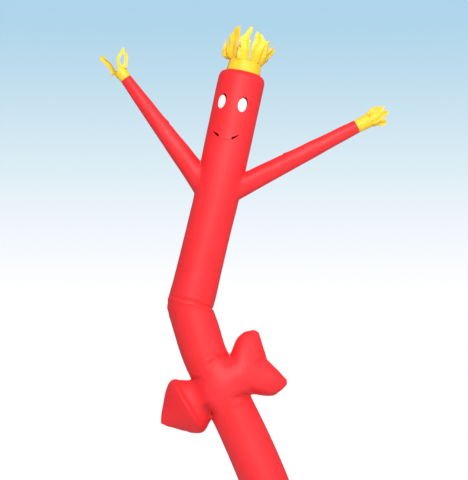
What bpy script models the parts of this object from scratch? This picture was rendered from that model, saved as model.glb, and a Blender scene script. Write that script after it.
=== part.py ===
"""Inflatable air dancer: a tall cloth tube held open by moving air.

It has two arms, an arrow across the body, a face, and cut streamers for hair and hands.

Metres, +Z up. The front faces -Y and +X is to the right of someone who looks at the front.
The origin is the centre of the air inlet, at the foot of the tube.
"""

import math
from collections import namedtuple

import bmesh
import bpy
import numpy as np

# Cloth
WALL = 0.002
HEM_WALL = 0.004
HEM_HEIGHT = 0.050
GAP = 0.0003
BLOCK = 0.4

# How finely the round forms are cut
TUBE_SIDES = 28
ARROW_SIDES = 32
ARM_SIDES = 16
TUBE_PITCH = 0.13
ARM_PITCH = 0.16
STREAMER_ROWS = 6
STREAMER_COLUMNS = 3

# Colours of the cloth, linear
RED = (0.80, 0.030, 0.038)
YELLOW = (0.93, 0.60, 0.045)
WHITE = (0.90, 0.90, 0.88)
CLOTH_ROUGHNESS = 0.55

FRONT = np.array([0.0, -1.0, 0.0])
RIGHT = np.array([1.0, 0.0, 0.0])

# The tube, as sections across its own centre line, which stays in the plane Y = 0
Section = namedtuple("Section", "x z radius")
LEG = [
    Section(0.000, 0.000, 0.229),
    Section(0.000, HEM_HEIGHT, 0.229),
    Section(-0.012, 0.280, 0.233),
    Section(-0.076, 0.620, 0.237),
    Section(-0.178, 0.945, 0.238),
    Section(-0.289, 1.240, 0.238),
    Section(-0.554, 1.839, 0.229),
    Section(-0.719, 2.174, 0.226),
]
HIP = [
    Section(-0.719, 2.174, 0.226),
    Section(-0.889, 2.510, 0.226),
    Section(-0.966, 2.753, 0.228),
    Section(-1.039, 2.991, 0.222),
]
TORSO = [
    Section(-1.039, 2.991, 0.233),
    Section(-0.9945, 3.150, 0.233),
    Section(-0.944, 3.363, 0.228),
    Section(-0.829, 3.851, 0.226),
    Section(-0.769, 4.095, 0.228),
    Section(-0.679, 4.521, 0.234),
    Section(-0.5905, 4.928, 0.238),
    Section(-0.5135, 5.296, 0.238),
]

# The waist, where the tube folds: the seam of its two panels lies in the crease, with a lip on each side.
# The fold's plane drops to the right.
FOLD_DROP = math.radians(9.0)
FOLD_REACH = 0.30
LIP_OFFSET = 0.035
CREASE_SIZE = 0.985
LOWER_LIP_SIZE = 1.012

# The cap of the head: a rounded shoulder with an upright collar where the hair is sewn on
CAP_HEIGHT = 0.085
COLLAR_RADIUS = 0.178
COLLAR_HEIGHT = 0.006
SEAM_HEIGHT = 0.010
CAP_STEPS = 5

# The arms, straight and tapered, from inside the tube to the wrist
Arm = namedtuple("Arm", "name root root_radius wrist wrist_radius")
ARMS = [
    Arm("arm_left", (-0.830, 4.142), 0.131, (-1.694, 5.321), 0.058),
    Arm("arm_right", (-0.629, 4.162), 0.116, (0.664, 4.830), 0.067),
]

# The arrow, as sections along its own axis, positive towards the tail.
# up and down are half widths beside the axis, notch is how far the middle of a section lies behind its
# edges, and dip is how much thinner its middle is.
ARROW_CENTRE = (-0.721, 2.174)
ARROW_TILT = math.radians(31.0)
ArrowSection = namedtuple("ArrowSection", "along up down depth notch dip")
ARROW = [
    ArrowSection(-0.706, 0.012, 0.012, 0.012, 0.000, 0.00),
    ArrowSection(-0.684, 0.042, 0.040, 0.034, 0.000, 0.00),
    ArrowSection(-0.585, 0.157, 0.143, 0.102, 0.000, 0.00),
    ArrowSection(-0.488, 0.265, 0.244, 0.166, 0.000, 0.00),
    ArrowSection(-0.420, 0.314, 0.288, 0.206, 0.000, 0.00),
    ArrowSection(-0.376, 0.318, 0.290, 0.212, 0.000, 0.00),
    ArrowSection(-0.315, 0.279, 0.262, 0.204, 0.000, 0.00),
    ArrowSection(-0.234, 0.226, 0.217, 0.216, 0.000, 0.00),
    ArrowSection(-0.120, 0.218, 0.218, 0.247, 0.000, 0.00),
    ArrowSection(0.000, 0.218, 0.218, 0.250, 0.000, 0.00),
    ArrowSection(0.120, 0.218, 0.218, 0.248, 0.000, 0.00),
    ArrowSection(0.224, 0.221, 0.219, 0.238, 0.000, 0.00),
    ArrowSection(0.315, 0.284, 0.282, 0.224, 0.004, 0.02),
    ArrowSection(0.386, 0.336, 0.334, 0.206, 0.012, 0.05),
    ArrowSection(0.467, 0.357, 0.347, 0.170, 0.028, 0.10),
    ArrowSection(0.552, 0.343, 0.334, 0.110, 0.048, 0.18),
    ArrowSection(0.602, 0.308, 0.304, 0.045, 0.064, 0.22),
    ArrowSection(0.615, 0.280, 0.276, 0.012, 0.068, 0.00),
]

# The face, placed by its turn round the tube from the front and its height up the centre line
FACE_TURN = math.radians(-11.3)
EYE_SPREAD = math.radians(27.5)
EYE_Z = 5.036
EYE_HALF_WIDTH = 0.046
EYE_HALF_HEIGHT = 0.070
EYE_VENT = (0.010, 0.016)
EYE_SIDES = 24
MOUTH_Z = 4.734
MouthPoint = namedtuple("MouthPoint", "turn height half_opening")
MOUTH = [
    MouthPoint(math.radians(35.5), -0.014, 0.001),
    MouthPoint(math.radians(26.0), -0.038, 0.009),
    MouthPoint(math.radians(16.2), -0.056, 0.013),
]
CUT_INNER = 0.958
CUT_OUTER = 1.028

# The streamers: strips cut into the end of a short cuff. turn and span are degrees round the cuff from
# the front. bend and tip are places of the strip's middle, to the right, forward and up from the cuff's
# seam. width is the tip's, belly is what the strip gains half way, and slit is a cut through its middle.
Strip = namedtuple("Strip", "turn span bend tip width belly twist slit")
NO_SLIT = (0.0, 0.0)
Cuff = namedtuple("Cuff", "name radius rim_radius height strips")
HAIR = Cuff("hair", COLLAR_RADIUS, 0.166, 0.115, [
    Strip(-82.0, 30.0, (-0.220, 0.030, 0.165), (-0.246, 0.030, 0.305), 0.022, 0.01, 60, NO_SLIT),
    Strip(-49.0, 36.0, (-0.156, 0.125, 0.265), (-0.124, 0.115, 0.466), 0.022, 0.060, 65, NO_SLIT),
    Strip(-8.5, 45.0, (-0.034, 0.175, 0.265), (-0.012, 0.140, 0.468), 0.026, 0.030, 0, NO_SLIT),
    Strip(31.0, 34.0, (0.090, 0.165, 0.270), (0.092, 0.120, 0.424), 0.054, 0.030, -40, NO_SLIT),
    Strip(62.0, 28.0, (0.166, 0.095, 0.240), (0.172, 0.060, 0.372), 0.034, 0.045, -60, NO_SLIT),
    Strip(92.0, 32.0, (0.216, -0.010, 0.200), (0.258, 0.010, 0.326), 0.036, 0.020, -60, NO_SLIT),
    Strip(124.0, 32.0, (0.185, -0.120, 0.230), (0.215, -0.150, 0.300), 0.030, 0.030, 40, NO_SLIT),
    Strip(158.0, 36.0, (0.120, -0.190, 0.230), (0.150, -0.230, 0.350), 0.028, 0.020, 0, NO_SLIT),
    Strip(193.0, 34.0, (-0.065, -0.190, 0.240), (-0.080, -0.170, 0.395), 0.030, 0.030, 0, NO_SLIT),
    Strip(225.0, 30.0, (-0.140, -0.150, 0.220), (-0.170, -0.190, 0.310), 0.028, 0.020, -30, NO_SLIT),
    Strip(251.5, 23.0, (-0.185, -0.060, 0.230), (-0.176, -0.060, 0.380), 0.024, 0.030, -40, NO_SLIT),
])
HAND_LEFT = Cuff("hand_left", 0.058, 0.070, 0.075, [
    Strip(25.0, 80.0, (0.084, 0.040, 0.160), (0.170, 0.020, 0.264), 0.012, 0.045, -25, (0.12, 0.68)),
    Strip(-55.0, 80.0, (-0.046, 0.040, 0.190), (-0.078, 0.020, 0.314), 0.040, -0.005, 50, NO_SLIT),
    Strip(-110.0, 30.0, (-0.082, 0.000, 0.090), (-0.098, 0.000, 0.100), 0.016, 0.00, 30, NO_SLIT),
    Strip(-154.0, 58.0, (-0.040, -0.070, 0.105), (-0.050, -0.078, 0.150), 0.020, 0.00, 0, NO_SLIT),
    Strip(153.5, 47.0, (0.030, -0.074, 0.095), (0.030, -0.086, 0.118), 0.020, 0.00, 0, NO_SLIT),
    Strip(97.5, 65.0, (0.078, -0.010, 0.095), (0.090, -0.020, 0.115), 0.020, 0.00, 0, NO_SLIT),
])
HAND_RIGHT = Cuff("hand_right", 0.067, 0.072, 0.155, [
    Strip(-50.0, 60.0, (-0.062, 0.044, 0.230), (-0.084, 0.024, 0.306), 0.028, 0.008, 40, NO_SLIT),
    Strip(0.0, 40.0, (-0.020, 0.070, 0.250), (-0.052, 0.050, 0.348), 0.026, 0.004, 0, NO_SLIT),
    Strip(38.0, 36.0, (0.028, 0.062, 0.245), (0.004, 0.045, 0.352), 0.034, 0.012, -30, NO_SLIT),
    Strip(85.0, 58.0, (0.070, 0.014, 0.218), (0.104, 0.000, 0.285), 0.058, 0.000, -75, NO_SLIT),
    Strip(144.0, 60.0, (0.040, -0.060, 0.220), (0.050, -0.080, 0.270), 0.026, 0.01, 0, NO_SLIT),
    Strip(202.0, 56.0, (-0.026, -0.070, 0.230), (-0.030, -0.090, 0.300), 0.028, 0.01, 0, NO_SLIT),
    Strip(255.0, 50.0, (-0.070, -0.018, 0.220), (-0.086, -0.030, 0.280), 0.024, 0.01, 0, NO_SLIT),
])


def clear_scene():
    for obj in list(bpy.data.objects):
        bpy.data.objects.remove(obj, do_unlink=True)


def cloth_material(piece, colour):
    """Matt cloth of one colour for one piece."""
    material = bpy.data.materials.new(piece + " cloth")
    material.use_nodes = True
    shader = material.node_tree.nodes["Principled BSDF"]
    shader.inputs["Base Color"].default_value = (*colour, 1.0)
    shader.inputs["Roughness"].default_value = CLOTH_ROUGHNESS
    shader.inputs["Metallic"].default_value = 0.0
    material.diffuse_color = (*colour, 1.0)
    return material


def add_object(name, surface):
    """A new object from a bmesh, which it frees."""
    mesh = bpy.data.meshes.new(name)
    surface.to_mesh(mesh)
    surface.free()
    obj = bpy.data.objects.new(name, mesh)
    bpy.context.scene.collection.objects.link(obj)
    return obj


def as_piece(obj, colour):
    obj.data.shade_smooth()
    obj.data.set_sharp_from_angle(angle=math.radians(40))
    obj.data.materials.append(cloth_material(obj.name, colour))
    return obj


def as_cutter(obj):
    obj.hide_render = True
    obj.display_type = "WIRE"
    return obj


def thicken(obj, thickness=WALL):
    """Gives an outer surface its wall, inwards."""
    shell = obj.modifiers.new("Wall", "SOLIDIFY")
    shell.thickness = thickness
    shell.offset = -1.0
    shell.use_even_offset = True
    return shell


def cut(obj, cutter):
    boolean = obj.modifiers.new("Cut by " + cutter.name, "BOOLEAN")
    boolean.operation = "DIFFERENCE"
    boolean.solver = "EXACT"
    boolean.object = cutter


def unit(vector):
    return vector / np.linalg.norm(vector)


def right_of(direction):
    """Across a direction in the plane Y = 0, to its right as the front is seen."""
    return np.array([direction[2], 0.0, -direction[0]])


def sample(rows, pitch):
    """A section table read as one smooth curve, at even steps: places, directions, radii and distances."""
    table = np.array(rows, float)
    steps = np.hypot(np.diff(table[:, 0]), np.diff(table[:, 1]))
    run = np.concatenate([[0.0], np.cumsum(steps)])
    slope = np.gradient(table, run, axis=0)
    wanted = np.linspace(0.0, run[-1], max(2, round(run[-1] / pitch)) + 1)
    first = np.clip(np.searchsorted(run, wanted, side="right") - 1, 0, len(run) - 2)
    length = (run[first + 1] - run[first])[:, None]
    t = (wanted - run[first])[:, None] / length
    values = (
        (1 + 2 * t) * (1 - t) ** 2 * table[first]
        + t * (1 - t) ** 2 * length * slope[first]
        + t**2 * (3 - 2 * t) * table[first + 1]
        - t**2 * (1 - t) * length * slope[first + 1]
    )
    places = np.stack([values[:, 0], np.zeros(len(values)), values[:, 1]], axis=1)
    directions = np.gradient(places, wanted, axis=0)
    directions /= np.linalg.norm(directions, axis=1)[:, None]
    return places, directions, values[:, 2], wanted


def ring(centre, right, radius, sides, stretch=1.0):
    """Points round a tube, from its front towards its right."""
    turn = np.linspace(0.0, 2 * math.pi, sides, endpoint=False)
    across = np.outer(np.sin(turn) * radius * stretch, right)
    return centre + across + np.outer(np.cos(turn) * radius, FRONT)


def round_rings(rows, pitch=TUBE_PITCH, sides=TUBE_SIDES, grow=0.0):
    places, directions, radii, _ = sample(rows, pitch)
    return [ring(c, right_of(d), r + grow, sides) for c, d, r in zip(places, directions, radii)]


def waist():
    """The middle of the fold, the direction across its plane, and the way to its right in that plane."""
    right = np.array([math.cos(FOLD_DROP), 0.0, -math.sin(FOLD_DROP)])
    return np.array([TORSO[0].x, 0.0, TORSO[0].z]), np.array([-right[2], 0.0, right[0]]), right


def body_rings():
    """The tube from the arrow to the head. Near the waist its sections turn into the plane of the fold.

    Gives back the rings and which of them lies in the fold.
    """
    hip_places, hip_directions, hip_radii, hip_run = sample(HIP, TUBE_PITCH)
    places, directions, radii, run = sample(TORSO, TUBE_PITCH)
    fold, _, fold_right = waist()

    def turned(centre, direction, radius, distance):
        share = max(0.0, 1.0 - distance / FOLD_REACH)
        right = unit((1.0 - share) * right_of(direction) + share * fold_right)
        return ring(centre, right, radius, TUBE_SIDES, 1.0 / right.dot(right_of(direction)))

    lower_lip = fold - LIP_OFFSET * hip_directions[-1]
    upper_lip = fold + LIP_OFFSET * directions[0]
    below = zip(hip_places[:-1], hip_directions[:-1], hip_radii[:-1], hip_run[-1] - hip_run[:-1])
    above = zip(places[1:], directions[1:], radii[1:], run[1:])
    rings = [turned(*row) for row in below]
    rings.append(turned(lower_lip, hip_directions[-1], hip_radii[-1] * LOWER_LIP_SIZE, LIP_OFFSET))
    rings.append(turned(fold, directions[0], radii[0] * CREASE_SIZE, 0.0))
    rings.append(turned(upper_lip, directions[0], radii[0], LIP_OFFSET))
    return rings + [turned(*row) for row in above], len(hip_places)


def loft(name, rings, ends="open"):
    """A surface through rings of equal count. Its ends are open, fanned to a point, or sewn front to back."""
    surface = bmesh.new()
    grid = [[surface.verts.new(point) for point in row] for row in rings]
    sides = len(rings[0])
    for lower, upper in zip(grid, grid[1:]):
        for i in range(sides):
            j = (i + 1) % sides
            surface.faces.new((lower[i], lower[j], upper[j], upper[i]))
    if ends != "open":
        fan(surface, grid[0][::-1])
    if ends == "fanned":
        fan(surface, grid[-1])
    if ends == "tip and sewn edge":
        sew_flat(surface, grid[-1])
    return add_object(name, surface)


def fan(surface, loop):
    middle = surface.verts.new(np.mean([vertex.co for vertex in loop], axis=0))
    for here, there in zip(loop, loop[1:] + loop[:1]):
        surface.faces.new((here, there, middle))


def sew_flat(surface, loop):
    """Closes a flattened loop by joining each front point to the back point behind it."""
    count = len(loop)
    for i in range(count // 4, count * 3 // 4):
        pair = (loop[i], loop[i + 1], loop[(count // 2 - i - 1) % count], loop[(count // 2 - i) % count])
        corners = list(dict.fromkeys(pair))
        if len(corners) > 2:
            surface.faces.new(corners)


def arrow_rings(grow=0.0):
    """Sections of the arrow, each an oval that may be notched back and pinched in at its middle."""
    along_axis = np.array([math.cos(ARROW_TILT), 0.0, math.sin(ARROW_TILT)])
    down_axis = right_of(along_axis)
    centre = np.array([ARROW_CENTRE[0], 0.0, ARROW_CENTRE[1]])
    turn = np.linspace(0.0, 2 * math.pi, ARROW_SIDES, endpoint=False)
    side = np.sin(turn)
    rings = []
    for row in ARROW:
        end_grow = math.copysign(grow, row.along)
        along = row.along + end_grow - row.notch * (1.0 - np.abs(side))
        across = side * np.where(side > 0, row.down + grow, row.up + grow)
        depth = np.cos(turn) * (row.depth + grow) * (1.0 - row.dip * (1.0 - side**2))
        rings.append(
            centre + np.outer(along, along_axis) + np.outer(across, down_axis) + np.outer(depth, FRONT)
        )
    return rings


def arm_rows(arm):
    return [Section(*arm.root, arm.root_radius), Section(*arm.wrist, arm.wrist_radius)]


def at_height(z):
    """The torso's centre, direction and radius where its centre line reaches a height."""
    places, directions, radii, _ = sample(TORSO, TUBE_PITCH)
    centre = np.array([np.interp(z, places[:, 2], places[:, 0]), 0.0, z])
    lean = np.array([np.interp(z, places[:, 2], directions[:, axis]) for axis in range(3)])
    return centre, unit(lean), float(np.interp(z, places[:, 2], radii))


def on_tube(z, turn, height, share=1.0):
    """A point at this turn round the head and this height above z, at a share of the tube's radius."""
    centre, direction, radius = at_height(z)
    outward = math.sin(turn) * right_of(direction) + math.cos(turn) * FRONT
    return centre + height * direction + share * radius * outward


def radial_cutter(name, outline, z):
    """A plug through the wall of the head, from an outline of turns and heights."""
    inner = [on_tube(z, turn, height, CUT_INNER) for turn, height in outline]
    outer = [on_tube(z, turn, height, CUT_OUTER) for turn, height in outline]
    cutter = loft(name, [inner, outer], "fanned")
    face_outwards(cutter)
    return as_cutter(cutter)


def face_outwards(obj):
    surface = bmesh.new()
    surface.from_mesh(obj.data)
    bmesh.ops.recalc_face_normals(surface, faces=surface.faces)
    surface.to_mesh(obj.data)
    surface.free()


def eye_outline(turn, grow=0.0, vented=False):
    """An oval on the head. A vented one is drawn out on the vent's side, which leaves a crescent open."""
    _, _, radius = at_height(EYE_Z)
    points = []
    for angle in np.linspace(0.0, 2 * math.pi, EYE_SIDES, endpoint=False):
        across = math.cos(angle) * (EYE_HALF_WIDTH + grow)
        height = math.sin(angle) * (EYE_HALF_HEIGHT + grow)
        facing = unit(np.array([math.cos(angle) / EYE_HALF_WIDTH, math.sin(angle) / EYE_HALF_HEIGHT]))
        opened = max(0.0, facing.dot(unit(np.array(EYE_VENT)))) if vented else 0.0
        across += opened * EYE_VENT[0]
        height += opened * EYE_VENT[1]
        points.append((turn + across / radius, height))
    return points


def mouth_outline(side):
    """One end of the smile, from its thin corner to where it closes. side is -1 for the left end."""
    upper = [(FACE_TURN + side * p.turn, p.height + p.half_opening) for p in MOUTH]
    lower = [(FACE_TURN + side * p.turn, p.height - p.half_opening) for p in MOUTH]
    return upper + lower[::-1]


def eye_patch(name, turn):
    """A white oval that lies in its hole, curved as the head is."""
    surface = bmesh.new()
    rings = []
    for share in (1.0, 0.5):
        outline = [(turn + share * (t - turn), share * h) for t, h in eye_outline(turn)]
        rings.append([surface.verts.new(on_tube(EYE_Z, t, h)) for t, h in outline])
    for i in range(EYE_SIDES):
        j = (i + 1) % EYE_SIDES
        surface.faces.new((rings[0][i], rings[0][j], rings[1][j], rings[1][i]))
    middle = surface.verts.new(on_tube(EYE_Z, turn, 0.0))
    for i in range(EYE_SIDES):
        surface.faces.new((rings[1][i], rings[1][(i + 1) % EYE_SIDES], middle))
    eye = add_object(name, surface)
    thicken(eye)
    return as_piece(eye, WHITE)


def streamer_cuff(cuff, base, direction, colour):
    """A cuff sewn on at base, whose far end is cut into strips that fly apart but share their roots."""
    right = right_of(direction)

    def place(local):
        return base + local[0] * right + local[1] * FRONT + local[2] * direction

    def on_cuff(turn, radius, height):
        return place((math.sin(turn) * radius, math.cos(turn) * radius, height))

    strips = sorted(cuff.strips, key=lambda strip: strip.turn)
    turns = []
    for strip in strips:
        start = strip.turn - strip.span / 2
        turns += [math.radians(start + strip.span * i / STREAMER_COLUMNS) for i in range(STREAMER_COLUMNS)]
    surface = bmesh.new()
    levels = [(cuff.radius, GAP), (cuff.radius, SEAM_HEIGHT), (cuff.rim_radius, cuff.height)]
    band = [[surface.verts.new(on_cuff(turn, radius, height)) for turn in turns] for radius, height in levels]
    count = len(turns)
    for lower, upper in zip(band, band[1:]):
        for i in range(count):
            j = (i + 1) % count
            surface.faces.new((lower[i], lower[j], upper[j], upper[i]))
    for number, strip in enumerate(strips):
        first = number * STREAMER_COLUMNS
        roots = [band[-1][(first + i) % count] for i in range(STREAMER_COLUMNS + 1)]
        add_strip(surface, strip, cuff, roots, place)
    obj = add_object(cuff.name, surface)
    thicken(obj)
    return as_piece(obj, colour)


def add_strip(surface, strip, cuff, roots, place):
    """One strip, along a curve from its root through its bend to its tip."""
    turn = math.radians(strip.turn)
    root = np.array([math.sin(turn), math.cos(turn), 0.0]) * cuff.rim_radius
    root[2] = cuff.height
    tip = np.array(strip.tip)
    pull = 2 * np.array(strip.bend) - (root + tip) / 2
    tangent = np.array([math.cos(turn), -math.sin(turn), 0.0])
    root_width = 2 * cuff.rim_radius * math.sin(math.radians(strip.span / 2))
    sagitta = cuff.rim_radius * (1 - math.cos(math.radians(strip.span / 2)))
    previous = roots
    for step in range(1, STREAMER_ROWS + 1):
        t = step / STREAMER_ROWS
        middle = (1 - t) ** 2 * root + 2 * t * (1 - t) * pull + t**2 * tip
        ahead = unit((1 - t) * (pull - root) + t * (tip - pull))
        flat = unit(tangent - tangent.dot(ahead) * ahead)
        facing = np.cross(flat, ahead)
        twist = math.radians(strip.twist) * t
        across = math.cos(twist) * flat + math.sin(twist) * facing
        out = np.cross(across, ahead)
        width = (1 - t) * 0.92 * root_width + t * strip.width + 4 * t * (1 - t) * strip.belly
        slit = strip.slit[0] < t - 0.5 / STREAMER_ROWS < strip.slit[1]
        opening = 0.5 if slit else 1.0 / STREAMER_COLUMNS
        row = []
        for share in (-1.0, -opening, opening, 1.0):
            hollow = sagitta * (1 - t) * share**2
            row.append(surface.verts.new(place(middle + across * share * width / 2 - out * hollow)))
        for i in range(STREAMER_COLUMNS):
            if slit and i == 1:
                continue
            surface.faces.new((previous[i], previous[i + 1], row[i + 1], row[i]))
        previous = row


def build_leg(arrow_cutter):
    """The foot of the tube, from its hem to the arrow. The hem is upright, so its end is flat and level."""
    foot, hem_top = (
        ring(np.array([row.x, 0.0, row.z]), RIGHT, row.radius, TUBE_SIDES) for row in LEG[:2]
    )
    leg = loft("tube_lower", [foot, hem_top] + round_rings(LEG)[1:])
    hem = leg.vertex_groups.new(name="hem")
    for vertex in leg.data.vertices:
        hem.add([vertex.index], 1.0 if vertex.co.z < HEM_HEIGHT / 2 else WALL / HEM_WALL, "REPLACE")
    shell = thicken(leg, HEM_WALL)
    shell.vertex_group = hem.name
    cut(leg, arrow_cutter)
    return as_piece(leg, RED)


def past_waist(name, way):
    """A block that takes away what lies past the waist's seam. way is 1 above it and -1 below it."""
    fold, across, right = waist()
    near = fold - way * GAP / 2 * across
    corners = ((-1, -1), (1, -1), (1, 1), (-1, 1))
    rings = [
        [near + way * depth * across + BLOCK * (a * right + b * FRONT) for a, b in corners]
        for depth in (0, BLOCK)
    ]
    block = loft(name, rings, "fanned")
    face_outwards(block)
    return as_cutter(block)


def build_hip(arrow_cutter):
    """The tube from the arrow to the waist."""
    rings, fold = body_rings()
    hip = loft("tube_hip", rings[:fold + 2])
    thicken(hip)
    cut(hip, past_waist("room above waist", 1))
    cut(hip, arrow_cutter)
    return as_piece(hip, RED)


def build_torso(arm_bores):
    """The tube from the waist to the head, with its arm holes, eye holes and smile."""
    rings, fold = body_rings()
    torso = loft("tube_torso", rings[fold - 1:])
    thicken(torso)
    cut(torso, past_waist("room below waist", -1))
    for bore in arm_bores:
        cut(torso, bore)
    for side, word in ((-1, "left"), (1, "right")):
        turn = FACE_TURN + side * EYE_SPREAD
        cut(torso, radial_cutter("eye hole " + word, eye_outline(turn, GAP, vented=True), EYE_Z))
        cut(torso, radial_cutter("mouth " + word, mouth_outline(side), MOUTH_Z))
        eye_patch("eye_" + word, turn)
    return as_piece(torso, RED)


def build_arrow():
    """The arrow, one hollow form that the air passes through on its way up."""
    arrow = loft("arrow", arrow_rings(), "tip and sewn edge")
    thicken(arrow)
    way = [row._replace(radius=row.radius - WALL) for row in LEG[-3:] + HIP[1:3]]
    bore = as_cutter(loft("way through arrow", round_rings(way), "fanned"))
    cut(arrow, bore)
    return as_piece(arrow, RED)


def build_arm(arm, torso_cutter):
    limb = loft(arm.name, round_rings(arm_rows(arm), ARM_PITCH, ARM_SIDES))
    thicken(limb)
    cut(limb, torso_cutter)
    return as_piece(limb, RED)


def build_cap():
    """The rounded shoulder of the head. Gives back the place and direction of the hair's seam."""
    places, directions, radii, _ = sample(TORSO, TUBE_PITCH)
    top, direction, radius = places[-1], directions[-1], radii[-1]
    profile = [(radius, GAP)]
    for step in range(CAP_STEPS + 1):
        angle = math.pi / 2 * step / CAP_STEPS
        round_height = CAP_HEIGHT - COLLAR_HEIGHT - SEAM_HEIGHT
        profile.append((
            COLLAR_RADIUS + (radius - COLLAR_RADIUS) * math.cos(angle),
            SEAM_HEIGHT + round_height * math.sin(angle),
        ))
    profile.append((COLLAR_RADIUS, CAP_HEIGHT))
    rings = [ring(top + height * direction, right_of(direction), r, TUBE_SIDES) for r, height in profile]
    cap = loft("head_cap", rings)
    thicken(cap)
    as_piece(cap, RED)
    return top + CAP_HEIGHT * direction, direction


def build():
    clear_scene()
    arrow_cutter = as_cutter(loft("room for arrow", arrow_rings(GAP), "tip and sewn edge"))
    torso_cutter = as_cutter(loft("room for torso", round_rings(TORSO, grow=GAP), "fanned"))
    bores = []
    for arm in ARMS:
        inside = [row._replace(radius=row.radius - WALL) for row in arm_rows(arm)]
        bore = loft("bore of " + arm.name, round_rings(inside, ARM_PITCH, ARM_SIDES), "fanned")
        bores.append(as_cutter(bore))
    build_leg(arrow_cutter)
    build_hip(arrow_cutter)
    build_torso(bores)
    build_arrow()
    for arm in ARMS:
        build_arm(arm, torso_cutter)
    seam, direction = build_cap()
    streamer_cuff(HAIR, seam, direction, YELLOW)
    for arm, cuff in zip(ARMS, (HAND_LEFT, HAND_RIGHT)):
        root = np.array([arm.root[0], 0.0, arm.root[1]])
        wrist = np.array([arm.wrist[0], 0.0, arm.wrist[1]])
        streamer_cuff(cuff, wrist, unit(wrist - root), YELLOW)


build()
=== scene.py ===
# %% [markdown]
# # An inflatable air dancer
#
# The real object is a figure sewn from light coated nylon. A fan blows into its foot, and the moving air
# holds it up, so every form on it is a tube of thin cloth pulled tight by pressure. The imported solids
# give its forms and sizes. This script replaces each solid by a finer sheet of cloth of the same form,
# with the soft joints, creases, puckers and stitches that sewing and pressure give, and then finishes the
# cloth.

# %% Load the solids
import math
from collections import namedtuple

import bpy
import numpy as np
from mathutils.bvhtree import BVHTree
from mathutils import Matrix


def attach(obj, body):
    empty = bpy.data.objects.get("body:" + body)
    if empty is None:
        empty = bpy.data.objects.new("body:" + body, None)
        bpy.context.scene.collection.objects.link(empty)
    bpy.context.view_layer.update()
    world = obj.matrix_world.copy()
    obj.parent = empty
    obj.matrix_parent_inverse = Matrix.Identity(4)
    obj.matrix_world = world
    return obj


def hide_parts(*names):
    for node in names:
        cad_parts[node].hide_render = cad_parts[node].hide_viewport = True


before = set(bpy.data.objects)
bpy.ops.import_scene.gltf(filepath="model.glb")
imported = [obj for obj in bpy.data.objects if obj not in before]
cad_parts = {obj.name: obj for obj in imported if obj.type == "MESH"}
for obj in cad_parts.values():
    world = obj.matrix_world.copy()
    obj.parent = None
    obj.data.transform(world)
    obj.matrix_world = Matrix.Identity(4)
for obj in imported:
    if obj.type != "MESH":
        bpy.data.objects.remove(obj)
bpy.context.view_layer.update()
print("solids:", ", ".join(sorted(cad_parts)))

# %% [markdown]
# ## Where the camera stands
#
# The figure is nearly six metres tall, and the picture of it was taken from the ground, from far off. A
# long lens at eye height, tilted a little up, gives that view. The foot of the tube lies below the frame.

# %% Camera and stage
scene = bpy.context.scene
scene.view_settings.view_transform = "Standard"
IMAGE_WIDTH, IMAGE_HEIGHT = 468, 480
METRES_PER_PIXEL = 0.01016
AIM = np.array([-0.589, 0.0, 3.668])
EYE_HEIGHT = 1.6
CAMERA_DISTANCE = 24.0


def aim_at(obj, target):
    """Turns a camera or a light so that it looks at a place."""
    sight = np.array(target) - np.array(obj.location)
    flat = math.hypot(sight[0], sight[1])
    obj.rotation_euler = (math.pi / 2 + math.atan2(sight[2], flat), 0.0, math.atan2(-sight[0], sight[1]))


def add_camera():
    camera = bpy.data.objects.new("camera", bpy.data.cameras.new("camera"))
    scene.collection.objects.link(camera)
    camera.location = (AIM[0], -CAMERA_DISTANCE, EYE_HEIGHT)
    aim_at(camera, AIM)
    lens = camera.data
    lens.sensor_fit = "VERTICAL"
    sight = math.hypot(CAMERA_DISTANCE, AIM[2] - EYE_HEIGHT)
    lens.lens = lens.sensor_height * sight / (IMAGE_HEIGHT * METRES_PER_PIXEL)
    lens.clip_end = 500.0
    scene.camera = camera
    print(f"camera {sight:.1f} m away, lens {lens.lens:.0f} mm")


add_camera()

# %% [markdown]
# ## Shader maths that reads as maths
#
# Each finish is worked out from a few numbers that change over the cloth. A small class wraps a socket,
# so that such numbers can be added and multiplied as in any Python expression, and each operator adds its
# node.

# %% Helper for shader nodes


class Number:
    """A socket that carries a number, with the operators that the finishes need."""

    def __init__(self, finish, socket):
        self.finish = finish
        self.socket = socket

    def math(self, operation, *values):
        inputs = dict(enumerate(values))
        return self.finish.node("ShaderNodeMath", {"operation": operation}, inputs)

    def __add__(self, other):
        return self.math("ADD", self, other)

    def __mul__(self, other):
        return self.math("MULTIPLY", self, other)

    def __sub__(self, other):
        return self.math("SUBTRACT", self, other)

    def __rsub__(self, other):
        return self.math("SUBTRACT", other, self)

    def __truediv__(self, other):
        return self.math("DIVIDE", self, other)

    __radd__ = __add__
    __rmul__ = __mul__

    def off_centre(self):
        """How far the number's fraction is from a half, from 0 to 0.5: a row of even ridges."""
        return self.math("ABSOLUTE", self.math("FRACT", self) - 0.5)

    def between(self, low, high):
        """0 below low, 1 above high and smooth in between."""
        settings = {"interpolation_type": "SMOOTHSTEP"}
        return self.finish.node("ShaderNodeMapRange", settings, {0: self, 1: low, 2: high})


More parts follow.
